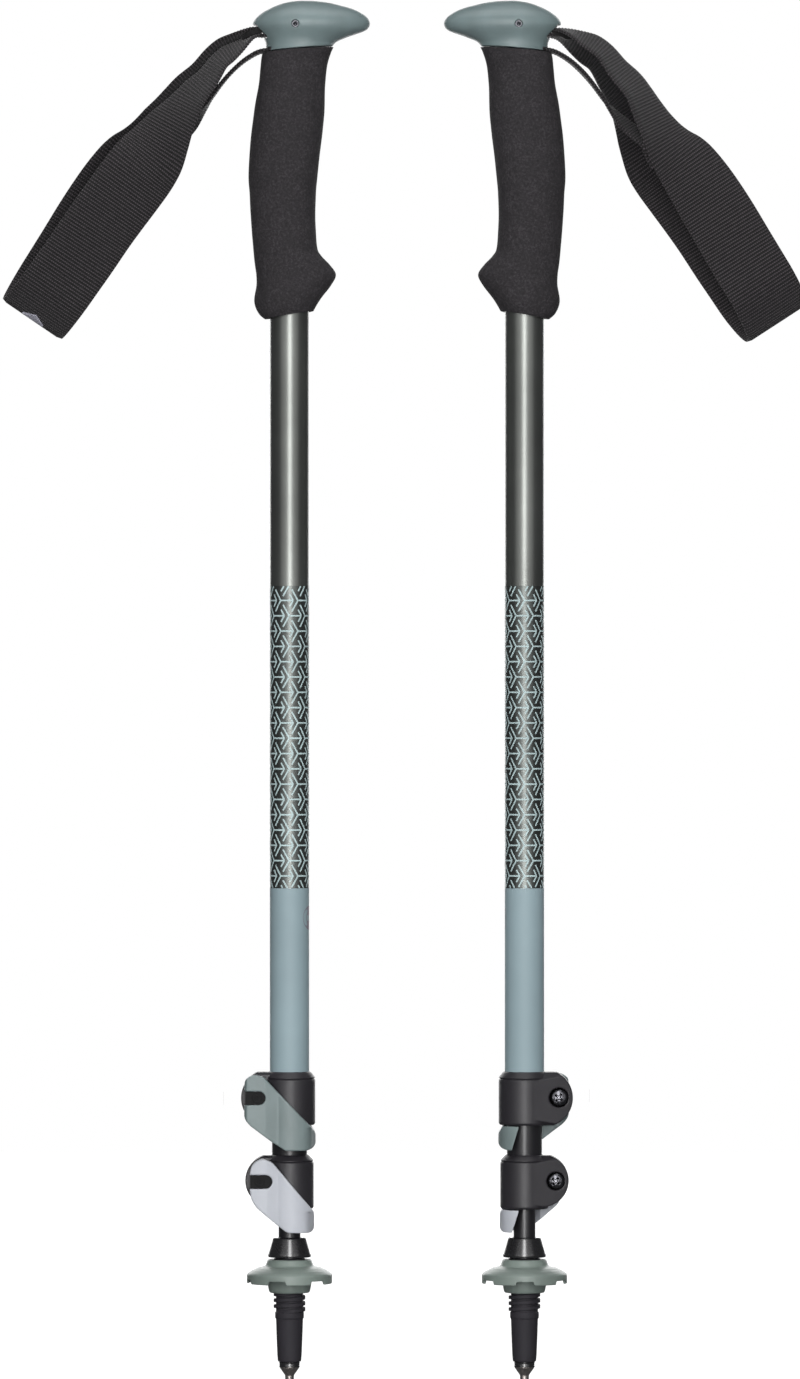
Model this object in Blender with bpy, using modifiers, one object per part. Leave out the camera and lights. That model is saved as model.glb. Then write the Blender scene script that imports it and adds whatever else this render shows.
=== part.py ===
"""A pair of telescopic trekking poles, collapsed, upright and side by side.

Metres, +Z up. The origin is on the ground, midway between the two tips. Both poles are the same part:
each is modelled about its own axis, with the nose of its head towards +X and its wrist strap towards
-X, and the right pole is turned half a turn about +Z.
"""
import math
from collections import namedtuple

import bmesh
import bpy
from mathutils import Matrix, Vector

# Driving dimensions
POLE_SPACING = 0.1076
GAP = 0.0003
WALL = 0.0007
UPPER_R, MIDDLE_R, LOWER_R, LOWER_END_R = 0.0090, 0.0080, 0.0070, 0.0050
ROUND_STEPS = 18

TIP_FLAT_R, TIP_LAND_R, TIP_FERRULE_R = 0.00195, 0.0045, 0.0048
TIP_BODY_BASE, TIP_BODY_TOP = 0.0107, 0.0580
THREAD_R, THREAD_ROOT_R, THREAD_PITCH, THREAD_TURNS = 0.00715, 0.0062, 0.0027, 3
THREAD_BASE, THREAD_END = 0.0336, 0.0423
BASKET_R, BASKET_RIM_BASE, BASKET_RIM_TOP, BASKET_TOP = 0.0195, 0.0466, 0.0508, 0.0576
BASKET_NOTCHES, BASKET_NOTCH_WIDTH = 6, 0.0095
TIP_COLLAR_BASE, TIP_COLLAR_TOP = 0.0585, 0.0677

LOWER_SHAFT_BASE, LOWER_SHAFT_TOP = 0.0320, 0.5550
MIDDLE_SHAFT_BASE, MIDDLE_SHAFT_TOP = 0.0865, 0.5750
UPPER_SHAFT_BASE, UPPER_SHAFT_TOP = 0.1245, 0.6060
BUSHING_FLANGE, BUSHING_STEM = 0.0035, 0.0100

FOAM_BASE_SLOPE = 0.17
FOAM_TOP, FOAM_TOP_SLOPE = 0.6109, 0.083
FOAM_BORE_R = UPPER_R + GAP
HEAD_POCKET_R, HEAD_POCKET_TOP = 0.0080, 0.6150
PIN_X, PIN_Z, PIN_R, PIN_HALF_LENGTH = 0.0028, 0.6224, 0.00175, 0.0138
SLOT_LOW, SLOT_HIGH, SLOT_HALF_WIDTH = 0.6167, 0.6227, 0.0062
CHAMBER_REAR, CHAMBER_FRONT, CHAMBER_TOP = -0.0050, 0.0066, 0.6265
TAIL_SLOT_TOP, TAIL_HALF_WIDTH = 0.6129, 0.0060

STRAP_THICKNESS, TAIL_THICKNESS, STRAP_STATIONS = 0.0018, 0.0016, 24
# Along the middle line: distance from the slot's mouth, half the gap between the layers, half their stacking,
# roll and twist in degrees, half width.
STRAP_SHAPE = (
    (-0.0045, 0.0000, 0.00140, 0.0, 0.0, 0.0056), (0.000, 0.0030, 0.00160, 0.0, 8.0, 0.0068),
    (0.004, 0.0052, 0.00190, 0.0, 15.0, 0.0079), (0.008, 0.0066, 0.00200, 0.0, 21.5, 0.0089),
    (0.014, 0.0082, 0.00200, 0.0, 27.5, 0.0103), (0.020, 0.0090, 0.00200, 0.0, 27.0, 0.0110),
    (0.028, 0.0099, 0.00205, 0.5, 27.3, 0.0122), (0.037, 0.0110, 0.00208, 1.5, 30.0, 0.0133),
    (0.045, 0.0118, 0.00206, 3.5, 31.5, 0.0141), (0.065, 0.0135, 0.00090, 9.3, 48.0, 0.0158),
    (0.085, 0.0145, 0.00000, 16.0, 78.0, 0.0165), (0.115, 0.0150, 0.00000, 13.2, 90.0, 0.0165),
    (0.167, 0.0150, 0.00000, 8.0, 90.0, 0.0163),
)
STRAP_BEND_LENGTH, STRAP_SAG_LENGTH = 0.020, 0.058
STRAP_PIVOT = Vector((-0.0166, 0, 0.6192))
ANCHOR_REAR, ANCHOR_HALF_WIDTH, ANCHOR_HALF_HEIGHT = -0.0143, 0.0056, 0.0022
# The middle line between the loop's two layers, as x and z, from the mouth of the head's slot to the bend.
STRAP_ROUTE = (
    (-0.0170, 0.6187), (-0.0242, 0.6150), (-0.0337, 0.6090), (-0.0407, 0.6004), (-0.0481, 0.5921),
    (-0.0547, 0.5813), (-0.0638, 0.5666), (-0.0728, 0.5552), (-0.0869, 0.5350), (-0.0987, 0.5168),
    (-0.1176, 0.4885),
)
TAIL_ROUTE = (
    (-0.0146, 0.0, 0.6104), (-0.0205, 0.0010, 0.6067), (-0.0262, 0.0020, 0.6017),
    (-0.0313, 0.0030, 0.5961), (-0.0356, 0.0040, 0.5905), (-0.0398, 0.0060, 0.5846),
    (-0.0455, 0.0120, 0.5780),
)
TAIL_JOIN_START, TAIL_JOIN_END = 0.066, 0.076

# Side profiles: height, rear x, front x, half width. The rings of the foam and the head follow them.
FOAM_RINGS = (
    (0.4900, -0.0113, 0.0110, 0.0112), (0.4930, -0.0142, 0.0127, 0.0128), (0.4975, -0.0161, 0.0154, 0.0136),
    (0.5035, -0.0151, 0.0190, 0.0136), (0.5085, -0.0152, 0.0212, 0.0135), (0.5130, -0.0158, 0.0185, 0.0135),
    (0.5170, -0.0163, 0.0147, 0.0136), (0.5210, -0.0167, 0.0127, 0.0138), (0.5320, -0.0176, 0.0119, 0.0142),
    (0.5450, -0.0183, 0.0121, 0.0146), (0.5530, -0.0188, 0.0128, 0.0148), (0.5660, -0.0182, 0.0142, 0.0147),
    (0.5820, -0.0164, 0.0159, 0.0141), (0.5950, -0.0142, 0.0164, 0.0133), (0.6030, -0.0134, 0.0172, 0.0129),
    (0.6085, -0.0129, 0.0190, 0.0126), (0.6109, -0.0124, 0.0202, 0.0124),
)
HEAD_RINGS = (
    (0.6112, -0.0114, 0.0199, 0.0120), (0.6134, -0.0107, 0.0215, 0.0120), (0.6155, -0.0112, 0.0242, 0.0125),
    (0.6173, -0.0126, 0.0276, 0.0133), (0.6191, -0.0142, 0.0328, 0.0144), (0.6205, -0.0156, 0.0356, 0.0152),
    (0.6221, -0.0167, 0.0367, 0.0158), (0.6238, -0.0166, 0.0368, 0.0159), (0.6259, -0.0151, 0.0356, 0.0152),
    (0.6281, -0.0124, 0.0326, 0.0137), (0.6300, -0.0090, 0.0284, 0.0116), (0.6315, -0.0056, 0.0231, 0.0092),
    (0.6326, -0.0022, 0.0185, 0.0066), (0.6333, 0.0018, 0.0136, 0.0038), (0.6336, 0.0055, 0.0090, 0.0016),
)
RING_POINTS = 20

Lock = namedtuple(
    "Lock",
    "name base top radius top_radius tube_r inner_r step screw_x screw_z head_r boss_x boss_z boss_r "
    "pivot_y pivot_r plate_in plate_out hook_in hook_out hook_top slot_right slot_height outline",
)
UPPER_LOCK = Lock(
    name="upper_lock", base=0.1192, top=0.1436, radius=0.0118, top_radius=0.0098,
    tube_r=UPPER_R, inner_r=MIDDLE_R, step=UPPER_SHAFT_BASE - GAP,
    screw_x=-0.0156, screw_z=0.1319, head_r=0.0036, boss_x=-0.0090, boss_z=0.1317, boss_r=0.0131,
    pivot_y=-0.0116, pivot_r=0.0050, plate_in=0.0122, plate_out=0.0145,
    hook_in=0.0100, hook_out=0.0120, hook_top=0.1188, slot_right=-0.0108, slot_height=0.0062,
    outline=(
        (-0.0202, 0.1402), (-0.0184, 0.1417), (-0.0160, 0.1425), (-0.0118, 0.1416), (0.0103, 0.1184),
        (0.0120, 0.1155), (0.0121, 0.1108), (0.0108, 0.1088), (0.0079, 0.1078), (-0.0018, 0.1079),
        (-0.0082, 0.1121), (-0.0179, 0.1194), (-0.0201, 0.1220), (-0.0207, 0.1244), (-0.0207, 0.1365),
    ),
)
LOWER_LOCK = Lock(
    name="lower_lock", base=0.0808, top=0.1055, radius=0.0111, top_radius=0.0089,
    tube_r=MIDDLE_R, inner_r=LOWER_R, step=MIDDLE_SHAFT_BASE - GAP,
    screw_x=-0.0142, screw_z=0.0937, head_r=0.0033, boss_x=-0.0083, boss_z=0.0939, boss_r=0.0119,
    pivot_y=-0.0112, pivot_r=0.0048, plate_in=0.0116, plate_out=0.0138,
    hook_in=0.0093, hook_out=0.0113, hook_top=0.0804, slot_right=-0.0077, slot_height=0.0063,
    outline=(
        (-0.0126, 0.1042), (-0.0152, 0.1029), (-0.0172, 0.1007), (-0.0180, 0.0977), (-0.0180, 0.0895),
        (-0.0173, 0.0856), (-0.0150, 0.0819), (-0.0051, 0.0735), (-0.0008, 0.0703), (0.0098, 0.0702),
        (0.0110, 0.0713), (0.0114, 0.0727), (0.0113, 0.0787), (0.0105, 0.0808), (-0.0077, 0.1026),
    ),
)
EAR_FRONT_CLEARANCE, EAR_TOP_DROP, HOOK_INSET = 0.0003, 0.0012, 0.00025
PLAN_STEPS, HOOK_END = 12, 80
EAR_LEAN, EAR_STEPS, SCREW_SEAT = 17, 12, 0.0042
SLIT = 0.0010
SCREW_SHANK_R, SCREW_HEAD_HEIGHT, BARREL_R, BARREL_HALF_LENGTH = 0.0015, 0.0026, 0.0026, 0.0072


def clear_scene():
    for obj in list(bpy.data.objects):
        bpy.data.objects.remove(obj)


def new_collection(name):
    collection = bpy.data.collections.new(name)
    bpy.context.scene.collection.children.link(collection)
    return collection


def linear(value):
    """An 8-bit sRGB level as the linear value that a shader takes."""
    value /= 255
    return value / 12.92 if value <= 0.04045 else ((value + 0.055) / 1.055) ** 2.4


def make_material(name, colour, roughness, metallic=0.0):
    material = bpy.data.materials.new(name)
    material.use_nodes = True
    shader = material.node_tree.nodes["Principled BSDF"]
    shader.inputs["Base Color"].default_value = (*map(linear, colour), 1)
    shader.inputs["Roughness"].default_value = roughness
    shader.inputs["Metallic"].default_value = metallic
    return material


class Pole:
    """One pole's name and the empty that places it."""

    def __init__(self, name, x, turn):
        self.name = name
        self.frame = bpy.data.objects.new(f"{name}_frame", None)
        self.frame.location = (x, 0, 0)
        self.frame.rotation_euler = (0, 0, turn)
        PARTS.objects.link(self.frame)

    def add(self, name, mesh, material, at=(0, 0, 0), turn=(0, 0, 0)):
        obj = bpy.data.objects.new(f"{self.name}_{name}", mesh)
        PARTS.objects.link(obj)
        obj.parent = self.frame
        obj.location = at
        obj.rotation_euler = turn
        mesh.materials.append(MATERIALS[material])
        return obj

    def cutter(self, name, mesh, at=(0, 0, 0), turn=(0, 0, 0)):
        obj = bpy.data.objects.new(f"{self.name}_{name}_cutter", mesh)
        CUTTERS.objects.link(obj)
        obj.parent = self.frame
        obj.location = at
        obj.rotation_euler = turn
        obj.hide_render = True
        obj.display_type = "WIRE"
        return obj


# A turned piece lies along Z. This turn lays it along Y, with its lower end towards +Y.
ALONG_Y = (math.pi / 2, 0, 0)


def boolean(obj, cutter, operation="DIFFERENCE"):
    modifier = obj.modifiers.new(cutter.name, "BOOLEAN")
    modifier.operation = operation
    modifier.object = cutter
    modifier.solver = "EXACT"


def mesh_from(name, build):
    """A mesh made by one bmesh function."""
    mesh = bpy.data.meshes.new(name)
    shape = bmesh.new()
    build(shape)
    bmesh.ops.recalc_face_normals(shape, faces=shape.faces)
    if shape.calc_volume(signed=True) < 0:
        bmesh.ops.reverse_faces(shape, faces=shape.faces)
    shape.to_mesh(mesh)
    shape.free()
    mesh.shade_smooth()
    mesh.set_sharp_from_angle(angle=math.radians(35))
    return mesh


def box_mesh(low, high):
    middle = (Vector(low) + Vector(high)) / 2
    size = Vector(high) - Vector(low)
    place = Matrix.Translation(middle) @ Matrix.Diagonal((*size, 1))
    return mesh_from("box", lambda shape: bmesh.ops.create_cube(shape, size=1, matrix=place))


def rod_mesh(radius, low, high, steps=ROUND_STEPS):
    """A plain cylinder along Z."""
    place = Matrix.Translation((0, 0, (low + high) / 2))
    return mesh_from("rod", lambda shape: bmesh.ops.create_cone(
        shape, cap_ends=True, segments=steps, radius1=radius, radius2=radius, depth=high - low, matrix=place))


def turned(obj_maker, name, profile, *place, steps=ROUND_STEPS, **more):
    """A turned piece. Its profile is radius and height, closed on itself or on the axis."""
    mesh = bpy.data.meshes.new(name)
    ring = min(profile[0][0], profile[-1][0]) > 0
    count = len(profile)
    edges = [(i, (i + 1) % count) for i in range(count if ring else count - 1)]
    mesh.from_pydata([(radius, 0, height) for radius, height in profile], edges, [])
    obj = obj_maker(name, mesh, *place, **more)
    screw = obj.modifiers.new("Turn", "SCREW")
    screw.steps = steps
    screw.render_steps = steps
    screw.use_merge_vertices = True
    screw.merge_threshold = 0.000001
    screw.use_smooth_shade = True
    return obj


def prism_mesh(outline, low, high, turn=Matrix.Identity(4)):
    """A flat outline made solid from low to high along its own Z, then turned."""
    curve = bpy.data.curves.new("outline", "CURVE")
    curve.dimensions = "2D"
    curve.fill_mode = "BOTH"
    curve.extrude = (high - low) / 2
    spline = curve.splines.new("POLY")
    spline.points.add(len(outline) - 1)
    for point, (x, y) in zip(spline.points, outline):
        point.co = (x, y, 0, 1)
    spline.use_cyclic_u = True
    drawn = bpy.data.objects.new("outline", curve)
    bpy.context.scene.collection.objects.link(drawn)
    graph = bpy.context.evaluated_depsgraph_get()
    solid = bpy.data.meshes.new_from_object(drawn.evaluated_get(graph))
    bpy.data.objects.remove(drawn)

    def build(shape):
        shape.from_mesh(solid)
        bmesh.ops.remove_doubles(shape, verts=shape.verts, dist=0.000001)
        shape.transform(turn @ Matrix.Translation((0, 0, (low + high) / 2)))

    return mesh_from("prism", build)


# Turns an outline in x and z, as seen from the front, so that its thickness lies along Y.
FRONT_VIEW = Matrix.Rotation(math.pi / 2, 4, "X")


def loft_mesh(rings, loop=False):
    """Skins rings of equal point counts. Its ends are closed by faces, or joined to each other by loop."""
    def build(shape):
        rows = [[shape.verts.new(point) for point in ring] for ring in rings]
        pairs = list(zip(rows, rows[1:])) + ([(rows[-1], rows[0])] if loop else [])
        for lower, upper in pairs:
            for i in range(len(lower)):
                j = (i + 1) % len(lower)
                shape.faces.new((lower[i], lower[j], upper[j], upper[i]))
        if not loop:
            shape.faces.new(rows[0])
            shape.faces.new(rows[-1])

    return mesh_from("loft", build)


def arc(centre, radius, start, end, steps):
    """Points along an arc, in degrees from +X towards +Y."""
    turns = [math.radians(start + (end - start) * i / steps) for i in range(steps + 1)]
    return [(centre[0] + radius * math.cos(t), centre[1] + radius * math.sin(t)) for t in turns]


def smooth(value):
    value = min(max(value, 0.0), 1.0)
    return value * value * (3 - 2 * value)


def curve_point(points, t):
    """A point of a Catmull-Rom curve through the points, with t from 0 to the last point's index."""
    i = min(int(t), len(points) - 2)
    f = t - i
    a, b, c, d = (Vector(points[min(max(k, 0), len(points) - 1)]) for k in range(i - 1, i + 3))
    return 0.5 * (2 * b + (c - a) * f + (2 * a - 5 * b + 4 * c - d) * f**2 + (3 * b - a - 3 * c + d) * f**3)


# Tip and basket
def tip_point(pole):
    stem_r, stem_top = 0.0025, 0.0200
    turned(pole.add, "tip_point", (
        (0, stem_top), (stem_r, stem_top), (stem_r, TIP_BODY_BASE - GAP),
        (TIP_FERRULE_R, TIP_BODY_BASE - GAP),
        (TIP_FERRULE_R, 0.0084), (TIP_LAND_R, 0.0081), (TIP_FLAT_R, 0.0046), (TIP_FLAT_R, 0), (0, 0),
    ), "metal")


def tip_body(pole):
    stem_bore_r, stem_bore_top, shaft_bore_base = 0.0028, 0.0203, LOWER_SHAFT_BASE - GAP
    bore_r = LOWER_END_R + 2 * GAP
    thread = []
    for turn in range(THREAD_TURNS):
        top = THREAD_END - turn * THREAD_PITCH
        thread += [(THREAD_R, top), (THREAD_R, top - 0.0015), (THREAD_ROOT_R, top - 0.0021)]
        thread += [(THREAD_ROOT_R, top - THREAD_PITCH + 0.0001)]
    turned(pole.add, "tip_body", (
        (0, shaft_bore_base), (bore_r, shaft_bore_base), (bore_r, TIP_BODY_TOP), (THREAD_R, TIP_BODY_TOP),
        *thread, (0.0065, THREAD_BASE), (0.0063, 0.0305), (0.0061, 0.0303), (0.00535, TIP_BODY_BASE),
        (stem_bore_r, TIP_BODY_BASE), (stem_bore_r, stem_bore_top), (0, stem_bore_top),
    ), "tip_plastic")


def basket(pole, screwed_to):
    bore_r = THREAD_R + GAP
    body = turned(pole.add, "basket", (
        (bore_r, BASKET_TOP), (0.0100, BASKET_TOP), (0.0109, 0.0549), (0.0115, 0.0544), (0.0146, 0.0537),
        (0.0172, 0.0525), (BASKET_R, BASKET_RIM_TOP), (BASKET_R, BASKET_RIM_BASE),
        (0.0185, BASKET_RIM_BASE), (0.0181, 0.0494), (0.0106, 0.0504), (0.0102, 0.0483),
        (0.00925, THREAD_END), (bore_r, THREAD_END),
    ), "basket_plastic", steps=24)
    half = BASKET_NOTCH_WIDTH / 2
    for i in range(BASKET_NOTCHES):
        turn = screwed_to - math.pi / 2 + i * 2 * math.pi / BASKET_NOTCHES
        notch = box_mesh((0.0150, -half, 0.0440), (0.0220, half, 0.0483))
        boolean(body, pole.cutter(f"notch_{i + 1}", notch, turn=(0, 0, turn)))


def tip_collar(pole):
    bore_r = LOWER_END_R + 2 * GAP
    turned(pole.add, "tip_collar", (
        (bore_r, TIP_COLLAR_TOP), (0.0072, TIP_COLLAR_TOP), (0.0075, TIP_COLLAR_TOP - 0.0004),
        (0.0096, TIP_COLLAR_BASE + 0.0012), (0.00985, TIP_COLLAR_BASE + 0.0006), (0.0096, TIP_COLLAR_BASE),
        (bore_r, TIP_COLLAR_BASE),
    ), "gloss_black")


# Shafts and what slides in them
def lower_shaft(pole):
    swage_top, swage_base = 0.0880, 0.0815
    inside = LOWER_END_R - WALL
    turned(pole.add, "lower_shaft", (
        (LOWER_R - WALL, LOWER_SHAFT_TOP), (LOWER_R, LOWER_SHAFT_TOP), (LOWER_R, swage_top),
        (LOWER_END_R, swage_base), (LOWER_END_R, LOWER_SHAFT_BASE), (inside, LOWER_SHAFT_BASE),
        (inside, swage_base), (LOWER_R - WALL, swage_top),
    ), "black_tube")


def tube(pole, name, radius, base, top, material):
    turned(pole.add, name, (
        (radius - WALL, top), (radius, top), (radius, base), (radius - WALL, base),
    ), material)


def bushing(pole, name, radius, top):
    """A guide ring on the top end of a shaft, with a stem down inside it."""
    stem_r, bore_r = radius - WALL - GAP, radius - 2.5 * WALL - GAP
    base = top + GAP
    turned(pole.add, name, (
        (bore_r, base + BUSHING_FLANGE), (radius, base + BUSHING_FLANGE), (radius, base), (stem_r, base),
        (stem_r, top - BUSHING_STEM), (bore_r, top - BUSHING_STEM),
    ), "tip_plastic")


# Cam locks
def ear_mesh(lock):
    """Both ears in one block, before the slit, with a round outline and a slanting rear face."""
    front = lock.pivot_y + lock.pivot_r + EAR_FRONT_CLEARANCE
    lean, radius = math.radians(EAR_LEAN), lock.radius
    right, high = -radius * math.sin(lean), lock.top - EAR_TOP_DROP
    low = max(lock.base, lock.boss_z - lock.boss_r)
    start = 180 - math.degrees(math.asin((high - lock.boss_z) / lock.boss_r))
    end = 180 + math.degrees(math.asin(min((lock.boss_z - low) / lock.boss_r, 1.0)))
    outline = arc((lock.boss_x, lock.boss_z), lock.boss_r, start, end, EAR_STEPS)
    outline += [(right, low), (right, high)]

    def build(shape):
        ahead = [shape.verts.new((x, front, z)) for x, z in outline]
        behind = [shape.verts.new((x, radius / math.cos(lean) + x * math.tan(lean), z)) for x, z in outline]
        shape.faces.new(ahead)
        shape.faces.new(behind)
        for i in range(len(outline)):
            j = (i + 1) % len(outline)
            shape.faces.new((ahead[i], ahead[j], behind[j], behind[i]))

    return mesh_from("ear", build)


def lock_collar(pole, lock):
    """A split ring about the tubes, with ears that the screw draws together."""
    radius, chamfer = lock.radius, lock.radius - lock.top_radius
    body = turned(pole.add, f"{lock.name}_collar", (
        (0, lock.top), (lock.top_radius, lock.top), (radius, lock.top - 1.6 * chamfer),
        (radius, lock.base + 0.0008), (radius - 0.0006, lock.base), (0, lock.base),
    ), "lock_plastic", steps=24)
    boolean(body, pole.cutter(f"{lock.name}_ear", ear_mesh(lock)), "UNION")
    outer_bore, inner_bore = lock.tube_r + GAP, lock.inner_r + GAP
    boolean(body, turned(pole.cutter, f"{lock.name}_bore", (
        (0, lock.top + 0.002), (outer_bore, lock.top + 0.002), (outer_bore, lock.step),
        (inner_bore, lock.step), (inner_bore, lock.base - 0.002), (0, lock.base - 0.002),
    )))
    slit = box_mesh((-0.0300, -SLIT / 2, lock.base - 0.002), (-0.0060, SLIT / 2, lock.top + 0.002))
    boolean(body, pole.cutter(f"{lock.name}_slit", slit))
    counterbore_r = lock.head_r + 0.0010
    boolean(body, turned(pole.cutter, f"{lock.name}_screw_hole", (
        (0, 0.0120), (SCREW_SHANK_R + GAP, 0.0120), (SCREW_SHANK_R + GAP, -SCREW_SEAT),
        (counterbore_r, -SCREW_SEAT), (counterbore_r, -0.0120), (0, -0.0120),
    ), at=(lock.screw_x, 0, lock.screw_z), turn=ALONG_Y))


def lever_plan(lock, outer_r, inner_r, end, inset=0.0):
    """The lever seen from above: a round boss about its pivot, then a plate that bends about the tubes."""
    boss = arc((lock.screw_x, lock.pivot_y), lock.pivot_r - inset, 62, 250, 12)
    front_r, ease_start, ease_end = lock.plate_out - inset, -62, -20
    start = -math.degrees(math.acos(-0.0050 / front_r))
    outer = []
    for i in range(PLAN_STEPS + 1):
        angle = start + (end - start) * i / PLAN_STEPS
        eased = smooth((angle - ease_start) / (ease_end - ease_start))
        radius = front_r + (outer_r - front_r) * eased
        outer.append((radius * math.cos(math.radians(angle)), radius * math.sin(math.radians(angle))))
    return boss + outer + arc((0, 0), inner_r, end, -142, PLAN_STEPS)


def lock_lever(pole, lock):
    """The cam lever: its plate lies over the collar, and its lower end hooks round the thinner tube."""
    pivot = Vector((lock.screw_x, lock.pivot_y, 0))
    top, base = lock.top + 0.001, lock.outline[9][1] - 0.003
    to_pivot = Matrix.Translation(-pivot)
    plate = prism_mesh(lever_plan(lock, lock.plate_out, lock.plate_in, -40), lock.base - 0.0010, top)
    hook_plan = lever_plan(lock, lock.hook_out, lock.hook_in, HOOK_END, HOOK_INSET)
    hook = prism_mesh(hook_plan, base, lock.hook_top)
    plate.transform(to_pivot)
    body = pole.add(f"{lock.name}_lever", plate, f"{lock.name}_lever", at=pivot)
    boolean(body, pole.cutter(f"{lock.name}_hook", hook), "UNION")
    front = prism_mesh(lock.outline, -0.0200, 0.0220, FRONT_VIEW)
    boolean(body, pole.cutter(f"{lock.name}_lever_outline", front), "INTERSECT")
    flat_front = box_mesh((-0.0300, -0.0220, base), (0, -lock.plate_out - 0.0004, top))
    boolean(body, pole.cutter(f"{lock.name}_lever_front", flat_front))
    # Behind the tube, the hook's end slants.
    over = lock.hook_top + 0.001
    slant = ((-0.0300, over), (0.0023, over), (0.0068, base), (-0.0300, base))
    boolean(body, pole.cutter(f"{lock.name}_hook_end", prism_mesh(slant, -0.0300, -0.0010, FRONT_VIEW)))
    half = lock.slot_height / 2
    slot = box_mesh((-0.0300, -0.0250, lock.screw_z - half), (lock.slot_right, 0, lock.screw_z + half))
    boolean(body, pole.cutter(f"{lock.name}_lever_slot", slot))
    bore = rod_mesh(BARREL_R + GAP, lock.screw_z - BARREL_HALF_LENGTH - GAP, top + 0.002)
    boolean(body, pole.cutter(f"{lock.name}_barrel_bore", bore, pivot))


def lock_screw(pole, lock):
    """The clamp screw along Y, from its head behind the ear to its end in the barrel."""
    seat, end = SCREW_SEAT - GAP, -lock.pivot_y + BARREL_R - 0.0004
    body = turned(pole.add, f"{lock.name}_screw", (
        (0, end), (SCREW_SHANK_R, end), (SCREW_SHANK_R, -seat - GAP), (lock.head_r, -seat - GAP),
        (lock.head_r, -seat - GAP - SCREW_HEAD_HEIGHT + 0.0005),
        (lock.head_r - 0.0006, -seat - GAP - SCREW_HEAD_HEIGHT), (0, -seat - GAP - SCREW_HEAD_HEIGHT),
    ), "black_steel", at=(lock.screw_x, 0, lock.screw_z), turn=ALONG_Y)
    head_face = seat + GAP + SCREW_HEAD_HEIGHT
    for i, (wide, high) in enumerate(((0.0018, 0.00045), (0.00045, 0.0018))):
        arm = box_mesh((-wide, head_face - 0.0012, -high), (wide, head_face + 0.0010, high))
        at = (lock.screw_x, 0, lock.screw_z)
        boolean(body, pole.cutter(f"{lock.name}_screw_cross_{i + 1}", arm, at))


def lock_barrel(pole, lock):
    """The cross nut that the screw draws on, and that the lever turns about."""
    at = (lock.screw_x, lock.pivot_y, lock.screw_z)
    barrel = rod_mesh(BARREL_R, -BARREL_HALF_LENGTH, BARREL_HALF_LENGTH)
    body = pole.add(f"{lock.name}_barrel", barrel, "black_steel", at)
    hole = rod_mesh(SCREW_SHANK_R + GAP, -0.0060, 0.0060, steps=16)
    boolean(body, pole.cutter(f"{lock.name}_barrel_hole", hole, at, ALONG_Y))


# Grip
def ring_points(height, slope, rear, front, half_width, middle):
    """An egg-shaped ring: two half ellipses that meet at x = middle, on a plane that slopes along x."""
    points = []
    for i in range(RING_POINTS):
        turn = 2 * math.pi * i / RING_POINTS
        reach = front - middle if math.cos(turn) > 0 else middle - rear
        x = middle + reach * math.cos(turn)
        points.append((x, half_width * math.sin(turn), height + slope * x))
    return points


def grip_foam(pole):
    rings = []
    for height, rear, front, half_width in FOAM_RINGS:
        share = (height - FOAM_RINGS[0][0]) / (FOAM_RINGS[-1][0] - FOAM_RINGS[0][0])
        slope = FOAM_BASE_SLOPE * (1 - smooth(share * 8)) + FOAM_TOP_SLOPE * smooth(share * 6 - 5)
        rings.append(ring_points(height, slope, rear, front, half_width, 0))
    bore = (-FOAM_BORE_R, FOAM_BORE_R, FOAM_BORE_R)
    rings.append(ring_points(FOAM_TOP, FOAM_TOP_SLOPE, *bore, 0))
    rings.append(ring_points(FOAM_RINGS[0][0], FOAM_BASE_SLOPE, *bore, 0))
    pole.add("grip_foam", loft_mesh(rings, loop=True), "foam")


def grip_head(pole):
    rings = []
    for height, rear, front, half_width in HEAD_RINGS:
        slope = FOAM_TOP_SLOPE * (1 - smooth((height - HEAD_RINGS[0][0]) / 0.0065))
        rings.append(ring_points(height + GAP, slope, rear, front, half_width, 0.005))
    body = pole.add("grip_head", loft_mesh(rings), "head_plastic")
    pocket = rod_mesh(HEAD_POCKET_R, 0.6050, HEAD_POCKET_TOP)
    boolean(body, pole.cutter("core_pocket", pocket))
    wide = SLOT_HALF_WIDTH
    slot = box_mesh((-0.0300, -wide, SLOT_LOW), (CHAMBER_REAR + 0.001, wide, SLOT_HIGH))
    boolean(body, pole.cutter("strap_slot", slot))
    chamber = box_mesh((CHAMBER_REAR, -wide, SLOT_LOW), (CHAMBER_FRONT, wide, CHAMBER_TOP))
    boolean(body, pole.cutter("strap_chamber", chamber))
    tail_wide = TAIL_HALF_WIDTH + 2 * GAP
    tail_slot = box_mesh((-0.0200, -tail_wide, 0.6050), (-0.0060, tail_wide, TAIL_SLOT_TOP))
    boolean(body, pole.cutter("tail_slot", tail_slot))
    pin_hole = rod_mesh(PIN_R + GAP, -0.0200, 0.0200)
    boolean(body, pole.cutter("pin_hole", pin_hole, (PIN_X, 0, PIN_Z), ALONG_Y))


def grip_core(pole):
    """The plug that joins the head to the top of the upper shaft."""
    stem_r, flange_r, top_r, bore_r = UPPER_R - WALL - 2 * GAP, UPPER_R, HEAD_POCKET_R - GAP, 0.0050
    flange_base = UPPER_SHAFT_TOP + GAP
    turned(pole.add, "grip_core", (
        (bore_r, HEAD_POCKET_TOP - GAP), (top_r, HEAD_POCKET_TOP - GAP), (top_r, 0.6088), (flange_r, 0.6088),
        (flange_r, flange_base), (stem_r, flange_base), (stem_r, 0.5860), (bore_r, 0.5860),
    ), "tip_plastic")


def strap_pin(pole):
    turned(pole.add, "strap_pin", (
        (0, PIN_HALF_LENGTH), (PIN_R, PIN_HALF_LENGTH), (PIN_R, -PIN_HALF_LENGTH), (0, -PIN_HALF_LENGTH),
    ), "metal", at=(PIN_X, 0, PIN_Z), turn=ALONG_Y, steps=16)


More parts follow.
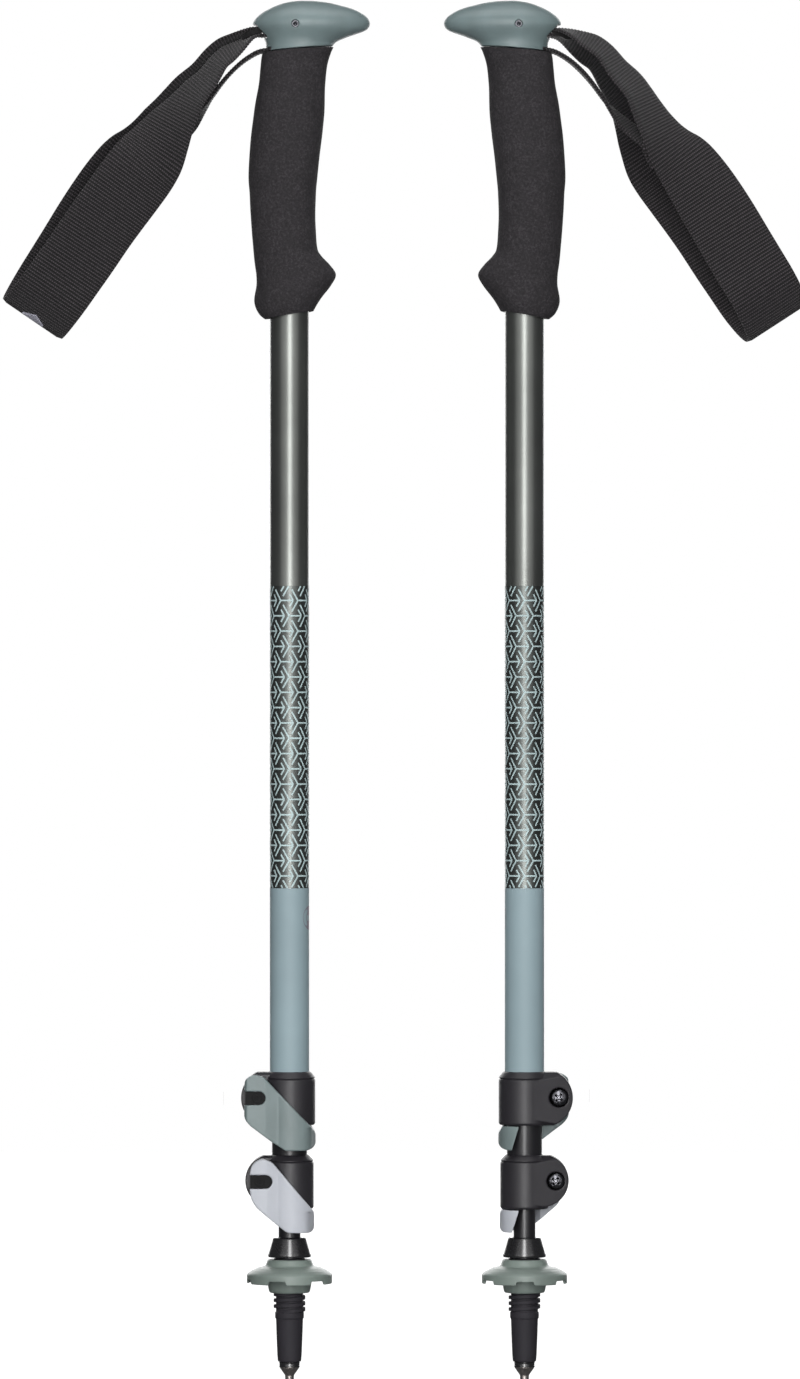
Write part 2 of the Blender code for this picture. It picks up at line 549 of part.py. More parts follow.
def strap_wedge(pole):
    """The wedge that holds the strap's ends, between them and the pin."""
    low, high, rear, front = SLOT_LOW + GAP, CHAMBER_TOP - 0.0006, CHAMBER_REAR + GAP, PIN_X - PIN_R - GAP
    outline = ((rear, low), (front, low), (front, high), (rear + 0.0020, high), (rear, high - 0.0035))
    half = SLOT_HALF_WIDTH - 2 * GAP
    pole.add("strap_wedge", prism_mesh(outline, -half, half, FRONT_VIEW), "tip_plastic")


def strap_anchor(pole):
    """The loop's two ends, sewn together in the slot of the head, up to the wedge."""
    middle, front = (SLOT_LOW + SLOT_HIGH) / 2, CHAMBER_REAR - GAP
    low, high = middle - ANCHOR_HALF_HEIGHT, middle + ANCHOR_HALF_HEIGHT
    ends = box_mesh((ANCHOR_REAR, -ANCHOR_HALF_WIDTH, low), (front, ANCHOR_HALF_WIDTH, high))
    pole.add("strap_anchor", ends, "webbing")


# Wrist strap
def route_lengths():
    fine = [curve_point(STRAP_ROUTE, i / 20) for i in range(20 * (len(STRAP_ROUTE) - 1) + 1)]
    lengths = [0.0]
    for a, b in zip(fine, fine[1:]):
        lengths.append(lengths[-1] + (b - a).length)
    return fine, lengths


def strap_shape(along):
    """The numbers of STRAP_SHAPE at a distance, on a smooth curve through its rows."""
    rows = STRAP_SHAPE
    i = max([0] + [k for k in range(len(rows) - 1) if rows[k][0] <= along])
    before, a, b, after = rows[max(i - 1, 0)], rows[i], rows[i + 1], rows[min(i + 2, len(rows) - 1)]
    t = min(max((along - a[0]) / (b[0] - a[0]), 0.0), 1.0)
    values = []
    for n in range(1, len(a)):
        rise = (b[n] - before[n]) / (b[0] - before[0]) * (b[0] - a[0])
        fall = (after[n] - a[n]) / (after[0] - a[0]) * (b[0] - a[0])
        value = a[n] * (2 * t**3 - 3 * t**2 + 1) + b[n] * (3 * t**2 - 2 * t**3)
        values.append(value + rise * (t**3 - 2 * t**2 + t) + fall * (t**3 - t**2))
    gap, stack, roll, twist, half_width = values
    return gap, stack, math.radians(roll), math.radians(twist), half_width


def strap_station(along, side, sag):
    """Middle point, width direction and half width of one layer, at a distance along the middle line.

    The layer of side -1 lies towards -Y and the pole, and that of side 1 towards +Y.
    """
    fine, lengths = ROUTE
    total = lengths[-1]
    i = next((k for k, length in enumerate(lengths) if length > along), len(lengths) - 1)
    share = (along - lengths[i - 1]) / (lengths[i] - lengths[i - 1])
    point = fine[i - 1].lerp(fine[i], share)
    ahead = (fine[min(i + 3, len(fine) - 1)] - fine[max(i - 4, 0)]).normalized()
    onto_pole = Vector((-ahead[1], 0, ahead[0]))
    gap, stack, roll, twist, half_width = strap_shape(along)
    across = Vector((0, 1, 0)) * math.cos(roll) - onto_pole * math.sin(roll)
    inward = onto_pole * math.cos(roll) + Vector((0, 1, 0)) * math.sin(roll)
    past = max(0.0, (along - total + STRAP_BEND_LENGTH) / STRAP_BEND_LENGTH)
    gap *= math.sqrt(max(0.0, 1 - past * past))
    point = Vector((point[0], 0, point[1]))
    point += onto_pole * sag * math.sin(math.pi * min(max(along / STRAP_SAG_LENGTH, 0.0), 1.0))
    centre = point + across * side * gap - onto_pole * side * stack
    width = across * side * math.cos(twist) + inward * math.sin(twist)
    return centre, width, half_width


def ribbon_rings(centres, widths, half_widths, thickness):
    """Four corners at each station of a flat strap."""
    rings = []
    for i, (centre, width, half_width) in enumerate(zip(centres, widths, half_widths)):
        ahead = centres[min(i + 1, len(centres) - 1)] - centres[max(i - 1, 0)]
        width = width * half_width
        out = ahead.cross(width).normalized() * thickness / 2
        rings.append([centre + width + out, centre + width - out, centre - width - out, centre - width + out])
    return rings


def strap_loop(pole, droop, sag):
    total = ROUTE[1][-1]
    straight = total - STRAP_BEND_LENGTH
    count = STRAP_STATIONS
    steps = [0.0, 0.002] + [straight * i / count for i in range(1, count)]
    steps += [straight + STRAP_BEND_LENGTH * math.sin(math.pi / 2 * i / 6) for i in range(6)]
    stations = [strap_station(along, -1, sag) for along in steps]
    stations.append(strap_station(total - 0.000001, -1, sag))
    stations += [strap_station(along, 1, sag) for along in reversed(steps)]
    mesh = loft_mesh(ribbon_rings(*zip(*stations), STRAP_THICKNESS))
    mesh.transform(Matrix.Rotation(-droop, 4, "Y") @ Matrix.Translation(-STRAP_PIVOT))
    pole.add("strap", mesh, "webbing", STRAP_PIVOT)


def strap_tail(pole, droop, sag):
    """The narrow strand from under the head to the inner face of the loop's far layer."""
    joined = []
    for i in range(4):
        along = TAIL_JOIN_START + (TAIL_JOIN_END - TAIL_JOIN_START) * i / 3
        centre, width, half_width = strap_station(along, 1, sag)
        ahead = strap_station(along + 0.001, 1, sag)[0] - centre
        inside = ahead.cross(width).normalized()
        centre = centre + inside * (STRAP_THICKNESS + 3 * GAP) + width * (half_width - TAIL_HALF_WIDTH)
        joined.append((centre, width))
    controls = [Vector(point) for point in TAIL_ROUTE] + [centre for centre, _ in joined]
    free = len(TAIL_ROUTE)
    stations = []
    for i in range(2 * len(controls) - 1):
        turn = smooth((i / 2 - free + 3) / 3)
        width = Vector((0, 1, 0)).slerp(joined[0][1], turn)
        if i / 2 >= free:
            width = joined[int(i / 2) - free][1]
        stations.append((curve_point(controls, i / 2), width, TAIL_HALF_WIDTH))
    mesh = loft_mesh(ribbon_rings(*zip(*stations), TAIL_THICKNESS))
    mesh.transform(Matrix.Rotation(-droop, 4, "Y") @ Matrix.Translation(-STRAP_PIVOT))
    pole.add("strap_tail", mesh, "webbing", STRAP_PIVOT)


def build_pole(pole, basket_turn, droop, sag):
    tip_point(pole)
    tip_body(pole)
    basket(pole, basket_turn)
    tip_collar(pole)
    lower_shaft(pole)
    tube(pole, "middle_shaft", MIDDLE_R, MIDDLE_SHAFT_BASE, MIDDLE_SHAFT_TOP, "black_tube")
    tube(pole, "upper_shaft", UPPER_R, UPPER_SHAFT_BASE, UPPER_SHAFT_TOP, "gunmetal_tube")
    bushing(pole, "lower_bushing", LOWER_R, LOWER_SHAFT_TOP)
    bushing(pole, "middle_bushing", MIDDLE_R, MIDDLE_SHAFT_TOP)
    for lock in (LOWER_LOCK, UPPER_LOCK):
        lock_collar(pole, lock)
        lock_lever(pole, lock)
        lock_screw(pole, lock)
        lock_barrel(pole, lock)
    grip_core(pole)
    grip_foam(pole)
    grip_head(pole)
    strap_pin(pole)
    strap_wedge(pole)
    strap_anchor(pole)
    strap_loop(pole, droop, sag)
    strap_tail(pole, droop, sag)


clear_scene()
PARTS = new_collection("trekking_poles")
CUTTERS = new_collection("cutters")
MATERIALS = {
    "metal": make_material("tip_metal", (120, 115, 108), 0.35, 1.0),
    "tip_plastic": make_material("tip_plastic", (48, 46, 52), 0.5),
    "basket_plastic": make_material("basket_plastic", (103, 122, 114), 0.5),
    "gloss_black": make_material("gloss_black", (28, 28, 30), 0.18),
    "black_tube": make_material("black_tube", (32, 32, 35), 0.25, 0.6),
    "gunmetal_tube": make_material("gunmetal_tube", (110, 122, 118), 0.35, 0.8),
    "lock_plastic": make_material("lock_plastic", (62, 60, 64), 0.42),
    "upper_lock_lever": make_material("upper_lever_plastic", (130, 145, 143), 0.45),
    "lower_lock_lever": make_material("lower_lever_plastic", (198, 201, 207), 0.42),
    "black_steel": make_material("black_steel", (26, 26, 28), 0.3, 0.8),
    "foam": make_material("grip_foam", (44, 42, 44), 0.95),
    "head_plastic": make_material("head_plastic", (112, 131, 127), 0.38),
    "webbing": make_material("webbing", (40, 38, 39), 0.9),
}
ROUTE = route_lengths()
build_pole(Pole("left", -POLE_SPACING / 2, 0), math.radians(-17), 0, 0.0021)
build_pole(Pole("right", POLE_SPACING / 2, math.pi), 0, math.radians(1.0), -0.0010)
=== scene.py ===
"""The trekking poles' looks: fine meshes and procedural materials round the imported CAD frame.

Metres, +Z up. Each pole is made about its own axis, with its nose towards +X and its strap towards -X.
The right pole is the left one turned half a turn about +Z.
"""
from math import acos, cos, degrees, dist, pi, radians, sin, sqrt

import bmesh
import bpy
import numpy as np
from mathutils import Matrix, Vector, noise


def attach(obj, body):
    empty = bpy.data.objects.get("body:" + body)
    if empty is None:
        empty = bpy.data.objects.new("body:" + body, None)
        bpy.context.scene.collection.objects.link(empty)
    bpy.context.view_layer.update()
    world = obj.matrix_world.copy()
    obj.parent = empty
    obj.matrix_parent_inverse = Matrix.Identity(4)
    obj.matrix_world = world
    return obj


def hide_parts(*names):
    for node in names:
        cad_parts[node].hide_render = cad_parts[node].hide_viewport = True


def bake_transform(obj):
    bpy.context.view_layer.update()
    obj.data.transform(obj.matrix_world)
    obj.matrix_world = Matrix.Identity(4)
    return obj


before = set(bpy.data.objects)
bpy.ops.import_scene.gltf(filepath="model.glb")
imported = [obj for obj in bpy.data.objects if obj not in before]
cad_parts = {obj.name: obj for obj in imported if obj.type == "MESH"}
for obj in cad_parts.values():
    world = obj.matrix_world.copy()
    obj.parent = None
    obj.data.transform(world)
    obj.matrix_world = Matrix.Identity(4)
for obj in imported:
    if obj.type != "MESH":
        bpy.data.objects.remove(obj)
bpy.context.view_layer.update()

# Driving dimensions, as in the CAD
AXIS_X = 0.0538
UPPER_R, MIDDLE_R, LOWER_R, LOWER_END_R = 0.0090, 0.0080, 0.0070, 0.0050
WALL = 0.0007
TUBE_STEPS = 96

FOAM_BASE_SLOPE, FOAM_TOP_SLOPE, FOAM_TOP, FOAM_BORE_R = 0.17, 0.083, 0.6109, 0.0092
# Side profiles: height, rear x, front x, half width.
FOAM_RINGS = (
    (0.4900, -0.0113, 0.0110, 0.0112), (0.4930, -0.0142, 0.0127, 0.0128), (0.4975, -0.0161, 0.0154, 0.0136),
    (0.5035, -0.0151, 0.0190, 0.0136), (0.5085, -0.0152, 0.0212, 0.0135), (0.5130, -0.0158, 0.0185, 0.0135),
    (0.5170, -0.0163, 0.0147, 0.0136), (0.5210, -0.0167, 0.0127, 0.0138), (0.5320, -0.0176, 0.0119, 0.0142),
    (0.5450, -0.0183, 0.0121, 0.0146), (0.5530, -0.0188, 0.0128, 0.0148), (0.5660, -0.0182, 0.0142, 0.0147),
    (0.5820, -0.0164, 0.0159, 0.0141), (0.5950, -0.0142, 0.0164, 0.0133), (0.6030, -0.0134, 0.0172, 0.0129),
    (0.6085, -0.0129, 0.0190, 0.0126), (0.6109, -0.0124, 0.0202, 0.0124),
)
HEAD_RINGS = (
    (0.6115, -0.0114, 0.0199, 0.0120), (0.6137, -0.0107, 0.0215, 0.0120), (0.6158, -0.0112, 0.0242, 0.0125),
    (0.6176, -0.0126, 0.0276, 0.0133), (0.6194, -0.0142, 0.0328, 0.0144), (0.6208, -0.0156, 0.0356, 0.0152),
    (0.6224, -0.0167, 0.0367, 0.0158), (0.6241, -0.0166, 0.0368, 0.0159), (0.6262, -0.0151, 0.0356, 0.0152),
    (0.6284, -0.0124, 0.0326, 0.0137), (0.6303, -0.0090, 0.0284, 0.0116), (0.6318, -0.0056, 0.0231, 0.0092),
    (0.6329, -0.0022, 0.0185, 0.0066), (0.6336, 0.0018, 0.0136, 0.0038), (0.6339, 0.0055, 0.0090, 0.0016),
)
PIN_X, PIN_Z, PIN_R, PIN_HALF_LENGTH = 0.0028, 0.6224, 0.00175, 0.0146
PIN_WALL, PIN_DEPTH, PIN_CONE = 0.0006, 0.0030, 0.0020
SLOT_LOW, SLOT_HIGH, SLOT_HALF_WIDTH, CHAMBER_FRONT = 0.6167, 0.6227, 0.0062, 0.0

THREAD_R, THREAD_ROOT_R, THREAD_PITCH = 0.00715, 0.0062, 0.0027
BASKET_R, BASKET_TOP, BASKET_BASE, BASKET_NOTCHES = 0.0195, 0.0576, 0.0423, 6

BAND_BASE, BAND_TOP, BAND_MARGIN = 0.2276, 0.3659, 0.0002
# The printed marks: how many go round, their line's width, its lift off the tube and its sunk edge.
PATTERN_REPEATS, PATTERN_LINE, PATTERN_LIFT, PATTERN_SINK = 7, 0.00070, 0.00003, -0.00002
PATTERN_WIDTH = 2 * pi * UPPER_R / PATTERN_REPEATS
PATTERN_ARM, PATTERN_BARB, PATTERN_TOP = PATTERN_WIDTH * 0.72, PATTERN_WIDTH * 0.40, BAND_TOP + 0.0003
DOT_R, DOT_TURN, DOT_Z = 0.0055, 79, 0.2140

STRAP_THICKNESS, STRAP_PIVOT = 0.0018, Vector((-0.0166, 0, 0.6192))
RIB_PITCH, RIB_HEIGHT, TAIL_THICKNESS, TAIL_RIB_HEIGHT = 0.0015, 0.00032, 0.0019, 0.00018
# Along the middle line: distance from the slot's mouth, half the gap between the layers, half their stacking,
# roll and twist in degrees, half width.
STRAP_SHAPE = (
    (-0.0045, 0.0000, 0.00140, 0.0, 0.0, 0.0056), (0.000, 0.0030, 0.00160, 0.0, 8.0, 0.0068),
    (0.004, 0.0052, 0.00190, 0.0, 15.0, 0.0079), (0.008, 0.0066, 0.00200, 0.0, 21.5, 0.0089),
    (0.014, 0.0082, 0.00200, 0.0, 27.5, 0.0103), (0.020, 0.0090, 0.00200, 0.0, 27.0, 0.0110),
    (0.028, 0.0099, 0.00205, 0.5, 27.3, 0.0122), (0.037, 0.0110, 0.00208, 1.5, 30.0, 0.0133),
    (0.045, 0.0118, 0.00206, 3.5, 31.5, 0.0141), (0.065, 0.0135, 0.00090, 9.3, 48.0, 0.0158),
    (0.085, 0.0145, 0.00000, 16.0, 78.0, 0.0165), (0.115, 0.0150, 0.00000, 13.2, 90.0, 0.0165),
    (0.167, 0.0150, 0.00000, 8.0, 90.0, 0.0163),
)
STRAP_BEND_LENGTH, STRAP_SAG_LENGTH = 0.020, 0.058
STRAP_ROUTE = (
    (-0.0062, 0.6197), (-0.0118, 0.6195), (-0.0170, 0.6187), (-0.0242, 0.6150), (-0.0337, 0.6090),
    (-0.0407, 0.6004), (-0.0481, 0.5921), (-0.0547, 0.5813), (-0.0638, 0.5666), (-0.0728, 0.5552),
    (-0.0869, 0.5350), (-0.0987, 0.5168), (-0.1176, 0.4885),
)
STRAP_MOUTH_INDEX = 2
TAIL_HALF_WIDTH = 0.0060
TAIL_ROUTE = (
    (-0.0064, 0.0, 0.6114), (-0.0098, 0.0, 0.6112), (-0.0146, 0.0, 0.6102),
    (-0.0205, 0.0010, 0.6067), (-0.0262, 0.0020, 0.6017), (-0.0313, 0.0030, 0.5961),
    (-0.0356, 0.0040, 0.5905), (-0.0398, 0.0060, 0.5846), (-0.0455, 0.0120, 0.5780),
)
TAIL_JOIN_START, TAIL_JOIN_END = 0.066, 0.076
# Two points each, where the webbing would turn from riding on the head to riding on the strap's joint; hang
# reads them, but nothing uses them.
STRAP_BLEND = (-0.0148, 0, 0.6205), (-0.0215, 0, 0.6158)
TAIL_BLEND = (-0.0120, 0, 0.6113), (-0.0200, 0, 0.6078)
# The wad in the slot's mouth and the tag, by distance along the middle line.
CORE_START, CORE_LENGTH, TAG_START, TAG_LENGTH, TAG_LIFT = -0.0044, 0.0112, -0.0026, 0.0019, 0.0008


class Lock:
    """A cam lock's dimensions."""

    def __init__(self, **values):
        self.__dict__.update(values)


UPPER_LOCK = Lock(
    name="upper_lock", body="upper", lever_body="upper_lever",
    base=0.1192, top=0.1436, radius=0.0118, top_radius=0.0098, rim=0.0032,
    tube_r=UPPER_R, inner_r=MIDDLE_R, step=0.1242,
    screw_x=-0.0156, screw_z=0.1319, head_r=0.0036, boss_x=-0.0090, boss_z=0.1317, boss_r=0.0131,
    pivot_y=-0.0116, pivot_r=0.0050, plate_in=0.0122, plate_out=0.0145,
    hook_in=0.0100, hook_out=0.0120, hook_top=0.1188, slot_right=-0.0108, slot_height=0.0062,
    outline=(
        (-0.0202, 0.1402), (-0.0184, 0.1417), (-0.0160, 0.1425), (-0.0118, 0.1416), (0.0103, 0.1184),
        (0.0120, 0.1155), (0.0121, 0.1108), (0.0108, 0.1088), (0.0079, 0.1078), (-0.0018, 0.1079),
        (-0.0082, 0.1121), (-0.0179, 0.1194), (-0.0201, 0.1220), (-0.0207, 0.1244), (-0.0207, 0.1365),
    ),
)
LOWER_LOCK = Lock(
    name="lower_lock", body="middle", lever_body="lower_lever",
    base=0.0808, top=0.1055, radius=0.0111, top_radius=0.0089, rim=0.0030,
    tube_r=MIDDLE_R, inner_r=LOWER_R, step=0.0862,
    screw_x=-0.0142, screw_z=0.0937, head_r=0.0033, boss_x=-0.0083, boss_z=0.0939, boss_r=0.0119,
    pivot_y=-0.0112, pivot_r=0.0048, plate_in=0.0116, plate_out=0.0138,
    hook_in=0.0093, hook_out=0.0113, hook_top=0.0804, slot_right=-0.0077, slot_height=0.0063,
    outline=(
        (-0.0126, 0.1042), (-0.0152, 0.1029), (-0.0172, 0.1007), (-0.0180, 0.0977), (-0.0180, 0.0895),
        (-0.0173, 0.0856), (-0.0150, 0.0819), (-0.0051, 0.0735), (-0.0008, 0.0703), (0.0098, 0.0702),
        (0.0110, 0.0713), (0.0114, 0.0727), (0.0113, 0.0787), (0.0105, 0.0808), (-0.0077, 0.1026),
    ),
)
EAR_LEAN, SCREW_SEAT, SLIT, BARREL_R, BARREL_HALF_LENGTH = 17, 0.0042, 0.0010, 0.0022, 0.0072
FAR = 0.03  # How far cutters reach past a part


# Materials
def linear(value):
    """An 8-bit sRGB level as the linear value that a shader takes."""
    value /= 255
    return value / 12.92 if value <= 0.04045 else ((value + 0.055) / 1.055) ** 2.4


def rgb(colour):
    return (*map(linear, colour), 1)


class Look:
    """A Principled material and the procedural nodes that feed it."""

    def __init__(self, name, colour, roughness, metallic=0.0, **sockets):
        self.material = bpy.data.materials.new(name)
        self.material.use_nodes = True
        self.tree = self.material.node_tree
        self.shader = self.tree.nodes["Principled BSDF"]
        self.colour = colour
        self.set(Roughness=roughness, Metallic=metallic, **sockets)
        self.shader.inputs["Base Color"].default_value = rgb(colour)
        self.coords = self.tree.nodes.new("ShaderNodeTexCoord")
        self.bump_chain = None

    def set(self, **values):
        for name, value in values.items():
            self.shader.inputs[name.replace("_", " ")].default_value = value

    def node(self, kind, inputs=None, **props):
        node = self.tree.nodes.new("ShaderNode" + kind)
        for name, value in props.items():
            setattr(node, name, value)
        for name, value in (inputs or {}).items():
            self.feed(value, node.inputs[name])
        return node.outputs[0]

    def feed(self, value, socket):
        if isinstance(value, bpy.types.NodeSocket):
            self.tree.links.new(value, socket)
        else:
            socket.default_value = value

    def place(self, stretch=(1, 1, 1), source="Object"):
        return self.node("Mapping", {"Vector": self.coords.outputs[source], "Scale": stretch})

    def noise(self, scale, detail=3.0, roughness=0.55, stretch=(1, 1, 1), source="Object"):
        return self.node("TexNoise", {
            "Vector": self.place(stretch, source), "Scale": scale, "Detail": detail, "Roughness": roughness})

    def math(self, operation, a, b=0.0):
        return self.node("Math", {0: a, 1: b}, operation=operation)

    def remap(self, value, low, high, new_low, new_high):
        return self.node("MapRange", {
            "Value": value, "From Min": low, "From Max": high, "To Min": new_low, "To Max": new_high})

    def ramp(self, value, *stops):
        """Colours along a value: each stop is a position and an sRGB colour."""
        node = self.tree.nodes.new("ShaderNodeValToRGB")
        self.feed(value, node.inputs[0])
        points = node.color_ramp.elements
        while len(points) < len(stops):
            points.new(0.5)
        for point, (position, colour) in zip(points, stops):
            point.position = position
            point.color = rgb(colour)
        return node.outputs[0]

    def tones(self, value, spread, low=0.3, high=0.7):
        """The base colour, darker where value is low and lighter where it is high."""
        dark = tuple(level * (1 - spread) for level in self.colour)
        light = tuple(min(level * (1 + spread), 255) for level in self.colour)
        self.paint(self.ramp(value, (low, dark), (high, light)))

    def paint(self, colour):
        self.tree.links.new(colour, self.shader.inputs["Base Color"])

    def rough(self, value, low, high):
        self.tree.links.new(self.remap(value, 0.3, 0.7, low, high), self.shader.inputs["Roughness"])

    def bump(self, height, distance, strength=1.0):
        inputs = {"Height": height, "Distance": distance, "Strength": strength}
        if self.bump_chain is not None:
            inputs["Normal"] = self.bump_chain
        self.bump_chain = self.node("Bump", inputs)
        self.tree.links.new(self.bump_chain, self.shader.inputs["Normal"])


def moulded(name, colour, roughness, grain=4200, depth=0.00004, spread=0.05, **sockets):
    """Moulded plastic: a fine spark-eroded grain, with faint flow marks under it."""
    look = Look(name, colour, roughness, **sockets)
    flow = look.noise(90, 4.0, stretch=(1, 1, 0.5))
    fine = look.noise(grain, 2.0)
    look.tones(flow, spread)
    look.rough(fine, roughness - 0.05, roughness + 0.07)
    look.bump(fine, depth, 0.6)
    return look.material


def tube_finish(name, colour, roughness, metallic, spread=0.06, depth=0.00001, **sockets):
    """A drawn and finished tube: hair lines round it, and a slow change along it."""
    look = Look(name, colour, roughness, metallic, **sockets)
    hair = look.noise(60, 4.0, stretch=(0.6, 60, 1), source="UV")
    slow = look.noise(25, 3.0)
    look.tones(slow, spread)
    look.rough(hair, roughness - 0.015, roughness + 0.02)
    look.bump(hair, depth, 0.25)
    return look.material


def foam_material():
    """Closed-cell foam: open cut cells of half a millimetre, with painted shade in their hollows and painted
    light on their walls, over slow blotches.
    """
    look = Look("closed_cell_foam", (42, 40, 42), 0.95)
    cells = look.noise(900, 3.0, 0.75)
    fine = look.noise(2600, 2.0, 0.7)
    blotches = look.noise(160, 4.0)
    # Painted shade: the colour follows the cells and fine noise that also make the bump, so the hollows are
    # darker and the walls lighter; the blotches are a random tone.
    tone = look.math("ADD", look.math("MULTIPLY", cells, 0.55), look.math("MULTIPLY", fine, 0.25))
    look.paint(look.ramp(
        look.math("ADD", tone, look.math("MULTIPLY", blotches, 0.2)),
        (0.36, (23, 21, 23)), (0.5, (38, 35, 38)), (0.64, (60, 57, 60)),
    ))
    look.rough(blotches, 0.88, 0.98)
    look.bump(cells, 0.0003, 0.7)
    look.bump(fine, 0.00012, 0.5)
    return look.material


def webbing_material(name, colour, crest_highlight_colour):
    """Ribbed webbing: fine cross threads lie on the ribs, and every other rib is shifted half a thread. The
    colour follows the ribs' height: painted shade in the grooves, a painted highlight on the crests.
    """
    look = Look(name, colour, 0.88, Sheen_Weight=0.12, Sheen_Roughness=0.45)
    split = look.tree.nodes.new("ShaderNodeSeparateXYZ")
    look.feed(look.coords.outputs["UV"], split.inputs[0])
    across, along = split.outputs[0], split.outputs[1]
    wobble = look.noise(500, 2.0)
    row = look.math("MULTIPLY", along, 1 / RIB_PITCH)
    shift = look.math("MULTIPLY", look.math("FLOOR", row), pi)
    rib = look.math("SINE", look.math("MULTIPLY", look.math("FRACT", row), pi))
    turn = look.math("ADD", look.math("MULTIPLY", across, 2 * pi / 0.00105), shift)
    turn = look.math("ADD", turn, look.math("MULTIPLY", wobble, 1.2))
    thread = look.remap(look.math("COSINE", turn), -1.0, 1.0, 0.0, 1.0)
    height = look.math("MULTIPLY", rib, look.math("ADD", look.math("MULTIPLY", thread, 0.25), 0.75))
    fuzz = look.noise(5200, 2.0)
    tone = look.math("ADD", look.math("MULTIPLY", height, 0.92), look.math("MULTIPLY", fuzz, 0.08))
    # Painted shade and highlight: the grooves are darkened to a fifth of the colour, and the crests are
    # lightened towards the highlight colour.
    dark = tuple(level * 0.18 for level in colour)
    look.paint(look.ramp(tone, (0.35, dark), (0.72, colour), (0.99, crest_highlight_colour)))
    look.rough(wobble, 0.82, 0.95)
    look.bump(height, 0.00022, 0.8)
    look.bump(fuzz, 0.00006, 0.5)
    return look.material


def worn_metal(name, colour, roughness):
    look = Look(name, colour, roughness, 1.0)
    scratches = look.noise(900, 5.0, 0.7, stretch=(1, 1, 0.15))
    look.tones(scratches, 0.18)
    look.rough(scratches, roughness - 0.08, roughness + 0.14)
    look.bump(scratches, 0.00003, 0.5)
    return look.material


MATERIALS = {
    "gunmetal": tube_finish("gunmetal_anodised", (109, 111, 108), 0.34, 0.88),
    "band": tube_finish("dark_anodised", (89, 92, 90), 0.35, 0.9),
    "teal": tube_finish("teal_paint", (137, 156, 162), 0.58, 0.0, 0.03),
    "pattern": tube_finish("teal_print", (172, 192, 193), 0.5, 0.0, 0.05),
    "mauve": moulded("mauve_print", (118, 112, 122), 0.5),
    "black_tube": tube_finish("black_anodised", (29, 28, 31), 0.3, 0.0, 0.03, 5e-7, Specular_IOR_Level=0.5),
    "lock": moulded("lock_nylon", (39, 37, 41), 0.44, depth=0.00004, spread=0.07, Specular_IOR_Level=0.45),
    # Near-black with little specular: partly the insert's own black, partly painted shade in the lever's
    # slot.
    "lock_inside": moulded("lock_insert", (7, 7, 8), 0.6, spread=0.1, Specular_IOR_Level=0.2),
    "upper_lock": moulded("upper_lever_nylon", (114, 127, 127), 0.46),
    "lower_lock": moulded("lower_lever_nylon", (180, 183, 190), 0.46, spread=0.025),
    "head": moulded("head_nylon", (109, 124, 125), 0.43, spread=0.04),
    "basket": moulded("basket_nylon", (119, 130, 124), 0.42, spread=0.05),
    "tip_body": moulded("tip_nylon", (46, 44, 49), 0.66, spread=0.08, Specular_IOR_Level=0.25),
    "gloss": moulded("gloss_collar", (23, 22, 24), 0.22, depth=0.00001, spread=0.1, Specular_IOR_Level=1.0),
    "inner": moulded("inner_nylon", (58, 56, 60), 0.5),
    "steel": worn_metal("tip_steel", (160, 154, 150), 0.38),
    "black_steel": worn_metal("black_steel", (84, 84, 88), 0.24),
    "foam": foam_material(),
    # The last colour is the painted highlight on the ribs' crests.
    "webbing": webbing_material("ribbed_webbing", (26, 23, 25), (78, 71, 76)),
    "label": moulded("woven_label", (150, 149, 160), 0.85, grain=2600, depth=0.0001, spread=0.12),
}


# Meshes
def finish_mesh(shape, sharp=35):
    mesh = bpy.data.meshes.new("part")
    bmesh.ops.recalc_face_normals(shape, faces=shape.faces)
    shape.to_mesh(mesh)
    shape.free()
    mesh.shade_smooth()
    mesh.set_sharp_from_angle(angle=radians(sharp))
    return mesh


def smooth(value):
    value = min(max(value, 0.0), 1.0)
    return value * value * (3 - 2 * value)


def curve_point(points, t):
    """A point of a Catmull-Rom curve through the points, with t from 0 to the last point's index."""
    i = min(max(int(t), 0), len(points) - 2)
    f = t - i
    a, b, c, d = (np.array(points[min(max(k, 0), len(points) - 1)]) for k in range(i - 1, i + 3))
    return 0.5 * (2 * b + (c - a) * f + (2 * a - 5 * b + 4 * c - d) * f**2 + (3 * b - a - 3 * c + d) * f**3)


def filleted(points, radius, closed=False, steps=4):
    """The same outline with each corner rounded, by a short Bezier that starts radius before the corner."""
    out, count = [], len(points)
    for i, point in enumerate(points):
        corner = Vector(point)
        if not closed and i in (0, count - 1):
            out.append(tuple(corner))
            continue
        before, after = Vector(points[i - 1]) - corner, Vector(points[(i + 1) % count]) - corner
        start = corner + before.normalized() * min(radius, before.length * 0.45)
        end = corner + after.normalized() * min(radius, after.length * 0.45)
        for k in range(steps + 1):
            t = k / steps
            out.append(tuple(start * (1 - t) ** 2 + corner * 2 * t * (1 - t) + end * t * t))
    return out


